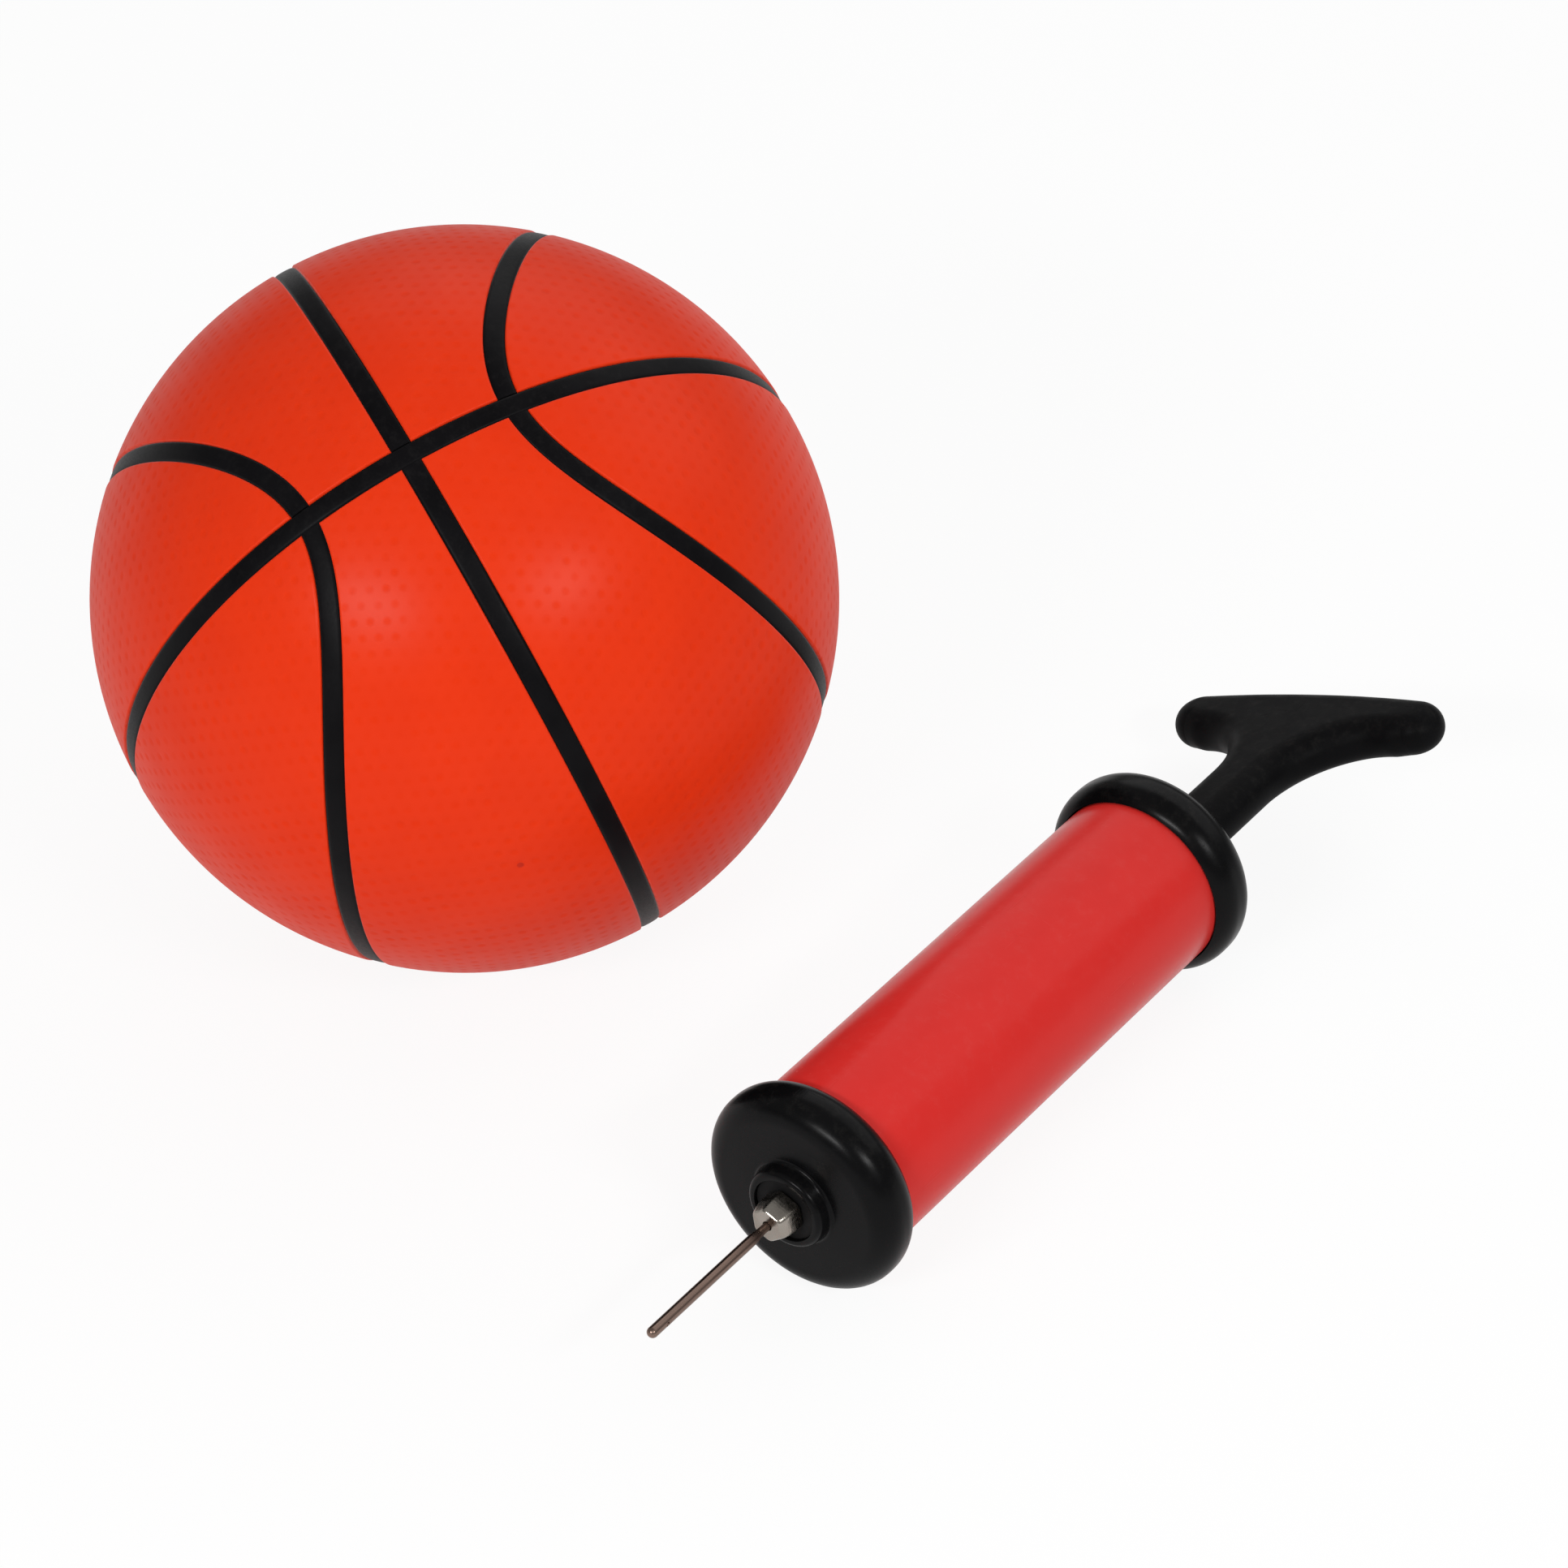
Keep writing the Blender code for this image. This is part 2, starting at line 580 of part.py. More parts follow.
def make_bladder():
    mesh = bpy.data.meshes.new("bladder")
    shape = bmesh.new()
    bmesh.ops.create_uvsphere(shape, u_segments=BLADDER_SIDES, v_segments=BLADDER_SIDES // 2,
                              radius=bladder_outer)
    shape.to_mesh(mesh)
    shape.free()
    mesh.shade_smooth()
    bladder = add("bladder", mesh, ball, BLACK_RUBBER)
    bladder.rotation_euler = valve_turn
    wall = bladder.modifiers.new("Wall", "SOLIDIFY")
    wall.thickness = BLADDER_WALL
    wall.offset = -1
    stem = VALVE_STEM_DIAMETER / 2
    opening = rod("stem_hole", stem + FIT, bladder_inner - VALVE_STEM_LENGTH, ball_radius, SMALL_SIDES)
    hole = add_cutter("stem_hole", opening, ball)
    hole.rotation_euler = valve_turn
    combine(bladder, hole, "DIFFERENCE")

    top = bladder_outer
    flange_top = bladder_inner - VALVE_FLANGE_DROP
    flange_bottom = flange_top - VALVE_FLANGE_THICKNESS
    flange = VALVE_FLANGE_DIAMETER / 2
    bore = NEEDLE_HOLE_DIAMETER / 2
    profile = [(bore, top), (stem, top), (stem, flange_top), (flange, flange_top), (flange, flange_bottom)]
    profile += [(stem, flange_bottom), (stem, top - VALVE_STEM_LENGTH), (bore, top - VALVE_STEM_LENGTH)]
    plug = turned("ball_valve", profile, True, SMALL_SIDES, ball, BLACK_RUBBER)
    plug.rotation_euler = valve_turn


for item in list(bpy.data.objects):
    bpy.data.objects.remove(item, do_unlink=True)

RED_PLASTIC = ((214, 56, 53), 0.35)
BLACK_PLASTIC = ((38, 38, 38), 0.28)
SATIN_BLACK = ((29, 29, 29), 0.42)
BLACK_RUBBER = ((15, 13, 16), 0.60)
ORANGE_RUBBER = ((224, 56, 24), 0.50)
BRASS = ((181, 150, 84), 0.35, 1.0)
NICKEL = ((189, 181, 172), 0.25, 1.0)
STEEL = ((150, 138, 128), 0.30, 1.0)

parts = collection("basketball_and_pump")
cutters = collection("cutters")
pump = empty("pump", pump_place, (-90, 0, 0))
ball = empty("ball", ball_place, BALL_TURN)
valve_direction = on_sphere(math.radians(VALVE_POLAR), math.radians(VALVE_AZIMUTH))
valve_turn = valve_direction.to_track_quat("Z", "Y").to_euler()

make_barrel()
make_front_cap()
make_rear_cap()
make_outlet()
make_needle()
make_plunger()
make_handle()
make_cover()
make_seams()
make_bladder()
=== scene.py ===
import json
import math

import bmesh
import bpy
import numpy as np
from mathutils import Euler, Matrix, Vector


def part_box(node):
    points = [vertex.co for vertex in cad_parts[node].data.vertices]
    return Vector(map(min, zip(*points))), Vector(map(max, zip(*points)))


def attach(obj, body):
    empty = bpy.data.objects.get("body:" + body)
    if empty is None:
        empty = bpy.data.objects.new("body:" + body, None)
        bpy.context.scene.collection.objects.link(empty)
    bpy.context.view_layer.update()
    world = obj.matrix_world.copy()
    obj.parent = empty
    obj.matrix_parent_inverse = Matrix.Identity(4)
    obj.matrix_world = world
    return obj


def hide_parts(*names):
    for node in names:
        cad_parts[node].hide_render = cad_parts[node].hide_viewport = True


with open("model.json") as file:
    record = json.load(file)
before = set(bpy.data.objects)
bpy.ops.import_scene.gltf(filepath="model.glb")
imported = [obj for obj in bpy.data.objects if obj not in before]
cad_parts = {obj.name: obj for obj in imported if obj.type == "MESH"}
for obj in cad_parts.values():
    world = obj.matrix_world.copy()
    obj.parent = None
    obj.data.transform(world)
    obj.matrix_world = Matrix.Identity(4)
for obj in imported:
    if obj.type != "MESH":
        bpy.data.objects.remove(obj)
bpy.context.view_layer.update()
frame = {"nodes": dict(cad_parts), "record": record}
scene = bpy.context.scene

# The pump's axis runs along +Y; stations along it start at the front cap's mouth
barrelSeat = 0.0065  # barrel length hidden in each cap
barrelLow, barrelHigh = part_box("barrel")
axisX = (barrelLow.x + barrelHigh.x) / 2
axisZ = (barrelLow.z + barrelHigh.z) / 2
mouthY = barrelLow.y + barrelSeat


# Small tools for surfaces

def around(radius, turn, station):
    # a point at that radius and turn about the pump's axis, at that station along it
    x = axisX + radius * np.cos(turn)
    z = axisZ + radius * np.sin(turn)
    return np.stack(np.broadcast_arrays(x, mouthY + station, z), -1)


def cells(rows, cols, wrapRows=False, wrapCols=False):
    # corner numbers of every four-sided cell in a grid of points
    row, col = np.meshgrid(np.arange(rows - (not wrapRows)), np.arange(cols - (not wrapCols)), indexing="ij")
    nextRow, nextCol = (row + 1) % rows, (col + 1) % cols
    return np.stack([row * cols + col, row * cols + nextCol, nextRow * cols + nextCol,
                     nextRow * cols + col], -1).reshape(-1, 4)


def rounded(corners, steps=9):
    # closed outline through (radius, station, fillet) corners: each corner becomes an arc that is
    # tangent to both of its sides, swept from one tangent point to the other about the arc's centre
    corners = np.array(corners)
    point, fillet = corners[:, :2], corners[:, 2:]
    back, ahead = np.roll(point, 1, 0) - point, np.roll(point, -1, 0) - point
    back, ahead = (side / np.linalg.norm(side, axis=1, keepdims=True) for side in (back, ahead))
    half = np.arccos(np.clip((back * ahead).sum(1, keepdims=True), -1, 1)) / 2
    middle = back + ahead
    centre = point + fillet / np.sin(half) * middle / np.linalg.norm(middle, axis=1, keepdims=True)
    start, end = (point + fillet / np.tan(half) * side - centre for side in (back, ahead))
    share = np.linspace(0, 1, steps)[None, :, None]
    sweep = (np.pi - 2 * half)[:, :, None]
    bent = np.sin((1 - share) * sweep) * start[:, None] + np.sin(share * sweep) * end[:, None]
    outline = (centre[:, None] + bent / np.sin(sweep)).reshape(-1, 2)
    fresh = np.linalg.norm(outline - np.roll(outline, 1, 0), axis=1) > 1e-7
    return outline[fresh]


def dense(outline, step):
    # the same closed outline with no stretch longer than step
    loop = np.vstack([outline, outline[:1]])
    along = np.concatenate([[0], np.cumsum(np.linalg.norm(np.diff(loop, axis=0), axis=1))])
    extra = np.arange(0, along[-1], step)
    marks = np.unique(np.concatenate([along[:-1], extra]).round(7))
    return np.stack([np.interp(marks, along, loop[:, 0]), np.interp(marks, along, loop[:, 1])], -1)


def ringOutline(outer, inner, low, high, edge):
    # section of a plain ring with rounded corners
    return rounded([(outer, low, edge), (outer, high, edge), (inner, high, edge), (inner, low, edge)])


def turned(outline, sides):
    # the closed outline carried once round the pump's axis
    turn = np.linspace(0, 2 * np.pi, sides, endpoint=False)
    points = around(outline[:, :1], turn[None], outline[:, 1:])
    return points, [cells(len(outline), sides, True, True)]


def eased(count, gather):
    # even steps from 0 to 1, drawn together towards both ends
    share = np.linspace(0, 1, count)
    return share - gather * np.sin(2 * np.pi * share) / (2 * np.pi)


def softMin(first, second, sharpness):
    # the smaller of two radii, with the change-over rounded off
    return (first ** -sharpness + second ** -sharpness) ** (-1 / sharpness)


def addPiece(name, points, faces, body, node, slotName, look, crease=40.0):
    mesh = bpy.data.meshes.new(name)
    mesh.from_pydata(points.reshape(-1, 3).tolist(), [], [face for part in faces for face in part.tolist()])
    shape = bmesh.new()
    shape.from_mesh(mesh)
    bmesh.ops.remove_doubles(shape, verts=shape.verts, dist=5e-7)
    bmesh.ops.dissolve_degenerate(shape, edges=shape.edges, dist=1e-8)
    bmesh.ops.recalc_face_normals(shape, faces=shape.faces)
    shape.to_mesh(mesh)
    shape.free()
    mesh.shade_smooth()
    mesh.set_sharp_from_angle(angle=math.radians(crease))
    mesh.materials.append(look)
    piece = bpy.data.objects.new(name, mesh)
    scene.collection.objects.link(piece)
    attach(piece, body)
    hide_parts(node)
    piece.visible_glossy = body != "basketball"  # the pump's gloss shows the studio, not the ball
    return piece


# Small tools for materials

def linear(levels):
    # screen colour, 0 to 255, as the light value that shaders use
    share = np.array(levels) / 255
    value = np.where(share <= 0.04045, share / 12.92, ((share + 0.055) / 1.055) ** 2.4)
    return (*value.tolist(), 1.0)


def feed(tree, socket, value):
    if isinstance(value, bpy.types.NodeSocket):
        tree.links.new(value, socket)
    else:
        socket.default_value = value


def addNode(tree, kind, inputs, **settings):
    made = tree.nodes.new(kind)
    for key, value in settings.items():
        setattr(made, key, value)
    for key, value in inputs.items():
        feed(tree, made.inputs[key], value)
    return made


def calc(tree, operation, *values):
    step = addNode(tree, "ShaderNodeMath", {}, operation=operation)
    for socket, value in zip(step.inputs, values):
        feed(tree, socket, value)
    return step.outputs[0]


def ramp(tree, value, low, high, toLow=0.0, toHigh=1.0):
    # value from low to high becomes toLow to toHigh, eased and held at both ends
    step = addNode(tree, "ShaderNodeMapRange", {"Value": value, "From Min": low, "From Max": high,
                                                "To Min": toLow, "To Max": toHigh},
                   interpolation_type="SMOOTHSTEP")
    return step.outputs["Result"]


def blendColour(tree, share, first, second):
    step = addNode(tree, "ShaderNodeMix", {0: share, 6: first, 7: second}, data_type="RGBA")
    return step.outputs[2]


def newGroup(name, inputs, outputs):
    tree = bpy.data.node_groups.new(name, "ShaderNodeTree")
    for label, kind, value in inputs:
        tree.interface.new_socket(label, in_out="INPUT", socket_type=kind).default_value = value
    for label in outputs:
        tree.interface.new_socket(label, in_out="OUTPUT", socket_type="NodeSocketFloat")
    return tree, tree.nodes.new("NodeGroupInput").outputs, tree.nodes.new("NodeGroupOutput").inputs


def useGroup(tree, group, **values):
    made = tree.nodes.new("ShaderNodeGroup")
    made.node_tree = group
    for key, value in values.items():
        feed(tree, made.inputs[key], value)
    return made.outputs


def newLook(name, **sockets):
    look = bpy.data.materials.new(name)
    look.use_nodes = True
    shader = look.node_tree.nodes["Principled BSDF"]
    for key, value in sockets.items():
        shader.inputs[key].default_value = value
    return look, look.node_tree, shader.inputs


def bump(tree, normal, height, depth):
    feed(tree, normal, addNode(tree, "ShaderNodeBump", {"Height": height, "Distance": depth}).outputs[0])


# Effects that several materials share

def makeGrain():
    # fine noise for a moulded or cast skin, and a slow mottle for patches of shade
    tree, given, out = newGroup("grain", [("Scale", "NodeSocketFloat", 900.0),
                                          ("Stretch", "NodeSocketVector", (1.0, 1.0, 1.0))],
                                ["Height", "Mottle"])
    place = tree.nodes.new("ShaderNodeTexCoord").outputs["Object"]
    drawn = addNode(tree, "ShaderNodeVectorMath", {0: place, 1: given["Stretch"]},
                    operation="MULTIPLY").outputs[0]
    fine = addNode(tree, "ShaderNodeTexNoise", {"Vector": drawn, "Scale": given["Scale"], "Detail": 4.0,
                                                "Roughness": 0.6})
    slow = addNode(tree, "ShaderNodeTexNoise", {"Vector": drawn, "Detail": 3.0,
                                                "Scale": calc(tree, "MULTIPLY", given["Scale"], 0.06)})
    feed(tree, out["Height"], fine.outputs[0])
    feed(tree, out["Mottle"], ramp(tree, slow.outputs[0], 0.3, 0.7))
    return tree


def makeScratches():
    # hairlines in two directions: noise drawn out very long, of which only the thin crests are kept
    tree, given, out = newGroup("scratches", [("Scale", "NodeSocketFloat", 60.0),
                                              ("Amount", "NodeSocketFloat", 0.5)], ["Mask"])
    place = tree.nodes.new("ShaderNodeTexCoord").outputs["Object"]
    lines = []
    for turn, stretch in (((0.5, 0.2, 0.9), (1.0, 26.0, 26.0)), ((1.1, 0.7, -0.6), (26.0, 1.0, 26.0))):
        drawn = addNode(tree, "ShaderNodeMapping", {"Vector": place, "Rotation": turn, "Scale": stretch})
        noise = addNode(tree, "ShaderNodeTexNoise", {"Vector": drawn.outputs[0], "Scale": given["Scale"],
                                                     "Detail": 2.0})
        lines.append(ramp(tree, noise.outputs[0], 0.66, 0.72))
    patches = addNode(tree, "ShaderNodeTexNoise", {"Vector": place, "Scale": given["Scale"], "Detail": 1.0})
    both = calc(tree, "MAXIMUM", *lines)
    shown = calc(tree, "MULTIPLY", both, ramp(tree, patches.outputs[0], 0.45, 0.65))
    feed(tree, out["Mask"], calc(tree, "MULTIPLY", shown, given["Amount"]))
    return tree


def makeDust():
    # pale dust that settles in patches on faces that look upwards
    tree, given, out = newGroup("dust", [("Scale", "NodeSocketFloat", 260.0),
                                         ("Amount", "NodeSocketFloat", 0.4)], ["Mask"])
    place = tree.nodes.new("ShaderNodeTexCoord").outputs["Object"]
    normal = tree.nodes.new("ShaderNodeNewGeometry").outputs["Normal"]
    facing = addNode(tree, "ShaderNodeSeparateXYZ", {0: normal})
    specks = addNode(tree, "ShaderNodeTexNoise", {"Vector": place, "Scale": given["Scale"], "Detail": 6.0,
                                                  "Roughness": 0.75})
    upward = ramp(tree, facing.outputs[2], 0.1, 0.95)
    settled = calc(tree, "MULTIPLY", upward, ramp(tree, specks.outputs[0], 0.45, 0.8))
    feed(tree, out["Mask"], calc(tree, "MULTIPLY", settled, given["Amount"]))
    return tree


def makeLathe():
    # fine tool rings round the pump's axis: a wave along the axis, broken up a little
    tree, given, out = newGroup("toolRings", [("Pitch", "NodeSocketFloat", 0.0002)], ["Height"])
    place = tree.nodes.new("ShaderNodeTexCoord").outputs["Object"]
    along = addNode(tree, "ShaderNodeSeparateXYZ", {0: place}).outputs[1]
    waver = addNode(tree, "ShaderNodeTexNoise", {"Vector": place, "Scale": 500.0}).outputs[0]
    phase = calc(tree, "ADD", calc(tree, "DIVIDE", along, given["Pitch"]), calc(tree, "MULTIPLY", waver, 1.5))
    wave = calc(tree, "SINE", calc(tree, "MULTIPLY", phase, 2 * math.pi))
    feed(tree, out["Height"], calc(tree, "MULTIPLY_ADD", wave, 0.5, 0.5))
    return tree


def makeDimples():
    # rows of dimples on a ball: rows at even polar angles about the ball's own Y axis, a whole number of
    # dimples round each row, every second row moved by half a step; Dot is 1 in a dimple's middle
    tree, given, out = newGroup("dimples", [("Centre", "NodeSocketVector", (0.0, 0.0, 0.0)),
                                            ("Turn", "NodeSocketVector", (0.0, 0.0, 0.0)),
                                            ("Radius", "NodeSocketFloat", 0.067),
                                            ("Pitch", "NodeSocketFloat", 0.003),
                                            ("Reach", "NodeSocketFloat", 0.0008)], ["Dot"])
    place = tree.nodes.new("ShaderNodeTexCoord").outputs["Object"]
    arm = addNode(tree, "ShaderNodeVectorMath", {0: place, 1: given["Centre"]},
                  operation="SUBTRACT").outputs[0]
    own = addNode(tree, "ShaderNodeVectorRotate", {"Vector": arm, "Rotation": given["Turn"]},
                  rotation_type="EULER_XYZ", invert=True).outputs[0]
    unit = addNode(tree, "ShaderNodeVectorMath", {0: own}, operation="NORMALIZE").outputs[0]
    x, y, z = addNode(tree, "ShaderNodeSeparateXYZ", {0: unit}).outputs
    polar = calc(tree, "ARCCOSINE", y)
    azimuth = calc(tree, "ARCTAN2", z, x)
    pitch = calc(tree, "DIVIDE", given["Pitch"], given["Radius"])
    rowStep = calc(tree, "MULTIPLY", pitch, math.sqrt(3) / 2)
    row = calc(tree, "ROUND", calc(tree, "DIVIDE", polar, rowStep))
    rowPolar = calc(tree, "MULTIPLY", row, rowStep)
    girth = calc(tree, "MULTIPLY", calc(tree, "SINE", rowPolar), 2 * math.pi)
    count = calc(tree, "MAXIMUM", calc(tree, "ROUND", calc(tree, "DIVIDE", girth, pitch)), 1.0)
    odd = calc(tree, "MULTIPLY", calc(tree, "MODULO", row, 2.0), 0.5)
    spot = calc(tree, "ADD", calc(tree, "MULTIPLY", calc(tree, "DIVIDE", azimuth, 2 * math.pi), count), odd)
    off = calc(tree, "SUBTRACT", spot, calc(tree, "ROUND", spot))
    across = calc(tree, "MULTIPLY", off, calc(tree, "DIVIDE", girth, count))
    down = calc(tree, "SUBTRACT", polar, rowPolar)
    squares = calc(tree, "ADD", calc(tree, "POWER", across, 2.0), calc(tree, "POWER", down, 2.0))
    away = calc(tree, "SQRT", squares)
    reach = calc(tree, "DIVIDE", given["Reach"], given["Radius"])
    feed(tree, out["Dot"], ramp(tree, calc(tree, "DIVIDE", away, reach), 0.25, 1.0, 1.0, 0.0))
    return tree


grainGroup = makeGrain()
scratchGroup = makeScratches()
dustGroup = makeDust()
latheGroup = makeLathe()
dimpleGroup = makeDimples()
print("shared effects made")

# Ball: where it lies and how its cover is cut
ball = dict(
    radius=0.06715,
    sitDepth=0.0006,                  # flat that its weight presses on the floor
    turn=(37.3, -56.7, -62.6),        # degrees, how it happens to lie
    cover=0.0016,
    channel=0.0038,                   # width of the gap between two panels
    loopLong=72.7,                    # half angles of a seam loop, along and across the seam ring
    loopShort=45.5,
    valvePolar=104.3,
    valveAzimuth=-65.3,
)
restPoint = next(mount["pos_m"] for mount in frame["record"]["mounts"] if mount["name"] == "ball_rest")
ballCentre = np.array(restPoint) + (0, 0, ball["radius"] - ball["sitDepth"])
ballEuler = Euler([math.radians(angle) for angle in ball["turn"]], "XYZ")
ballTurn = np.array(ballEuler.to_matrix())


def onBall(polar, azimuth):
    # direction at a polar angle from the loops' axis, the ball's own Y, and an azimuth round it
    return np.stack([np.sin(polar) * np.cos(azimuth), np.cos(polar) + 0 * azimuth,
                     np.sin(polar) * np.sin(azimuth)], -1)


def inPlace(direction, radius):
    # from the ball's own axes to where it lies
    return ballCentre + (direction * radius[..., None]) @ ballTurn.T


valveDirection = onBall(np.radians(ball["valvePolar"]), np.radians(ball["valveAzimuth"]))
valvePoint = inPlace(valveDirection, np.array(ball["radius"]))


# Finishes

def makeRedPlastic():
    # faint lines drawn along the barrel, fine grain, a few hairlines and a trace of dust
    red = dict(colour=(219, 51, 47), deep=(212, 45, 41), dust=(226, 150, 140), grainScale=2600.0,
               grainDepth=0.00001, grainShare=0.35, lineScale=700.0, lineStretch=(1.0, 0.03, 1.0),
               lineHeight=1.2, rough=(0.20, 0.25), scratchRough=0.12, specular=0.08)
    look, tree, shader = newLook("redBarrelPlastic", **{"Specular IOR Level": red["specular"]})
    grain = useGroup(tree, grainGroup, Scale=red["grainScale"])
    lines = useGroup(tree, grainGroup, Scale=red["lineScale"], Stretch=red["lineStretch"])
    scratch = useGroup(tree, scratchGroup, Scale=45.0, Amount=0.6)
    dust = useGroup(tree, dustGroup, Scale=420.0, Amount=0.05)
    base = blendColour(tree, lines["Mottle"], linear(red["colour"]), linear(red["deep"]))
    patch = calc(tree, "MULTIPLY", grain["Mottle"], red["grainShare"])
    soft = blendColour(tree, patch, base, linear(red["colour"]))
    feed(tree, shader["Base Color"], blendColour(tree, dust["Mask"], soft, linear(red["dust"])))
    rough = ramp(tree, grain["Mottle"], 0.0, 1.0, *red["rough"])
    feed(tree, shader["Roughness"], calc(tree, "MULTIPLY_ADD", scratch["Mask"], red["scratchRough"], rough))
    height = calc(tree, "MULTIPLY_ADD", lines["Height"], red["lineHeight"], grain["Height"])
    bump(tree, shader["Normal"], calc(tree, "SUBTRACT", height, scratch["Mask"]), red["grainDepth"])
    return look


def makeBlackPlastic(name, colour, rough, grainScale, grainDepth, specular):
    # moulded skin with patches of tone and gloss, a few hairlines and a trace of dust
    skin = dict(dark=0.88, light=1.08, smooth=0.9, dull=1.12, scratchRough=0.15, dust=(120, 116, 110))
    look, tree, shader = newLook(name, **{"Specular IOR Level": specular})
    grain = useGroup(tree, grainGroup, Scale=grainScale)
    scratch = useGroup(tree, scratchGroup, Scale=70.0, Amount=0.8)
    dust = useGroup(tree, dustGroup, Scale=500.0, Amount=0.05)
    tone = np.array(colour)
    base = blendColour(tree, grain["Mottle"], linear(tone * skin["dark"]), linear(tone * skin["light"]))
    feed(tree, shader["Base Color"], blendColour(tree, dust["Mask"], base, linear(skin["dust"])))
    low = ramp(tree, grain["Mottle"], 0.0, 1.0, rough * skin["smooth"], rough * skin["dull"])
    feed(tree, shader["Roughness"], calc(tree, "MULTIPLY_ADD", scratch["Mask"], skin["scratchRough"], low))
    bump(tree, shader["Normal"], calc(tree, "SUBTRACT", grain["Height"], scratch["Mask"]), grainDepth)
    return look


def makeOrangeRubber():
    # dimples that are shallow in patches, and a thin coat for the sheen that is duller inside them; a little
    # painted shade darkens the dimples, and a spot of painted shade marks the valve's needle hole
    rubber = dict(colour=(232, 54, 17), shade=(229, 52, 16), pit=(214, 44, 15), pitShadeShare=0.05,
                  dust=(236, 150, 120), valve=(196, 42, 22), valveReach=0.0008, valveCore=0.55,
                  pitch=0.0030, reach=0.00105, depth=0.00006, shallow=0.35, grainShare=0.08,
                  rough=(0.45, 0.49), pitRough=0.05, coat=0.16, coatRough=0.33, dull=0.65,
                  specular=0.06, tint=(1.0, 0.5, 0.2, 1.0))
    look, tree, shader = newLook("orangeCoverRubber", **{"Specular IOR Level": rubber["specular"],
                                                         "Specular Tint": rubber["tint"],
                                                         "Coat Roughness": rubber["coatRough"]})
    dot = useGroup(tree, dimpleGroup, Centre=tuple(ballCentre), Turn=tuple(ballEuler),
                   Radius=ball["radius"], Pitch=rubber["pitch"], Reach=rubber["reach"])["Dot"]
    grain = useGroup(tree, grainGroup, Scale=1500.0)
    dust = useGroup(tree, dustGroup, Scale=300.0, Amount=0.02)
    place = tree.nodes.new("ShaderNodeTexCoord").outputs["Object"]
    away = addNode(tree, "ShaderNodeVectorMath", {0: place, 1: tuple(valvePoint)},
                   operation="DISTANCE").outputs["Value"]
    # painted shade: a darker spot at the valve stands in for the shade inside its needle hole
    spot = ramp(tree, away, rubber["valveReach"] * rubber["valveCore"], rubber["valveReach"], 1.0, 0.0)
    base = blendColour(tree, grain["Mottle"], linear(rubber["colour"]), linear(rubber["shade"]))
    # painted shade: each dimple's middle is tinted a little towards the darker pit colour
    pitShaded = blendColour(tree, calc(tree, "MULTIPLY", dot, rubber["pitShadeShare"]), base, linear(rubber["pit"]))
    dusty = blendColour(tree, dust["Mask"], pitShaded, linear(rubber["dust"]))
    feed(tree, shader["Base Color"], blendColour(tree, spot, dusty, linear(rubber["valve"])))
    rough = ramp(tree, grain["Mottle"], 0.0, 1.0, *rubber["rough"])
    feed(tree, shader["Roughness"], calc(tree, "MULTIPLY_ADD", dot, rubber["pitRough"], rough))
    patches = useGroup(tree, grainGroup, Scale=2600.0)["Mottle"]
    worn = ramp(tree, patches, 0.0, 1.0, rubber["shallow"], 1.0)
    shine = calc(tree, "MULTIPLY_ADD", calc(tree, "MULTIPLY", dot, worn), -rubber["dull"], 1.0)
    feed(tree, shader["Coat Weight"], calc(tree, "MULTIPLY", shine, rubber["coat"]))
    lattice = calc(tree, "MULTIPLY", calc(tree, "MULTIPLY_ADD", dot, worn, spot), -1.0)
    height = calc(tree, "MULTIPLY_ADD", grain["Height"], rubber["grainShare"], lattice)
    bump(tree, shader["Normal"], height, rubber["depth"])
    return look


def makeBlackRubber(name, colour, bloom, rough, grainScale, grainDepth):
    # dull skin with a pale bloom in patches and a trace of dust
    skin = dict(smooth=0.9, dull=1.1, dust=(96, 92, 90), specular=0.06)
    look, tree, shader = newLook(name, **{"Specular IOR Level": skin["specular"]})
    grain = useGroup(tree, grainGroup, Scale=grainScale)
    dust = useGroup(tree, dustGroup, Scale=600.0, Amount=0.05)
    base = blendColour(tree, grain["Mottle"], linear(colour), linear(bloom))
    feed(tree, shader["Base Color"], blendColour(tree, dust["Mask"], base, linear(skin["dust"])))
    feed(tree, shader["Roughness"],
         ramp(tree, grain["Height"], 0.3, 0.7, rough * skin["smooth"], rough * skin["dull"]))
    bump(tree, shader["Normal"], grain["Height"], grainDepth)
    return look


def makeMetal(name, colour, stain, rough, ringPitch, ringDepth, stretch=(1.0, 1.0, 1.0), dent=0.0):
    # tool rings, stained patches and hairlines; dent is how uneven the skin is, against its rings
    skin = dict(smooth=0.8, dull=1.25, scratchRough=0.1, grainShare=0.5, dentScale=9000.0)
    look, tree, shader = newLook(name, Metallic=1.0)
    rings = useGroup(tree, latheGroup, Pitch=ringPitch)
    grain = useGroup(tree, grainGroup, Scale=1600.0, Stretch=stretch)
    scratch = useGroup(tree, scratchGroup, Scale=260.0, Amount=0.7)
    feed(tree, shader["Base Color"], blendColour(tree, grain["Mottle"], linear(colour), linear(stain)))
    low = ramp(tree, grain["Height"], 0.3, 0.7, rough * skin["smooth"], rough * skin["dull"])
    feed(tree, shader["Roughness"], calc(tree, "MULTIPLY_ADD", scratch["Mask"], skin["scratchRough"], low))
    height = calc(tree, "MULTIPLY_ADD", grain["Height"], skin["grainShare"], rings["Height"])
    if dent:
        slow = useGroup(tree, grainGroup, Scale=skin["dentScale"])["Mottle"]
        height = calc(tree, "MULTIPLY_ADD", slow, dent, height)
    bump(tree, shader["Normal"], height, ringDepth)
    return look


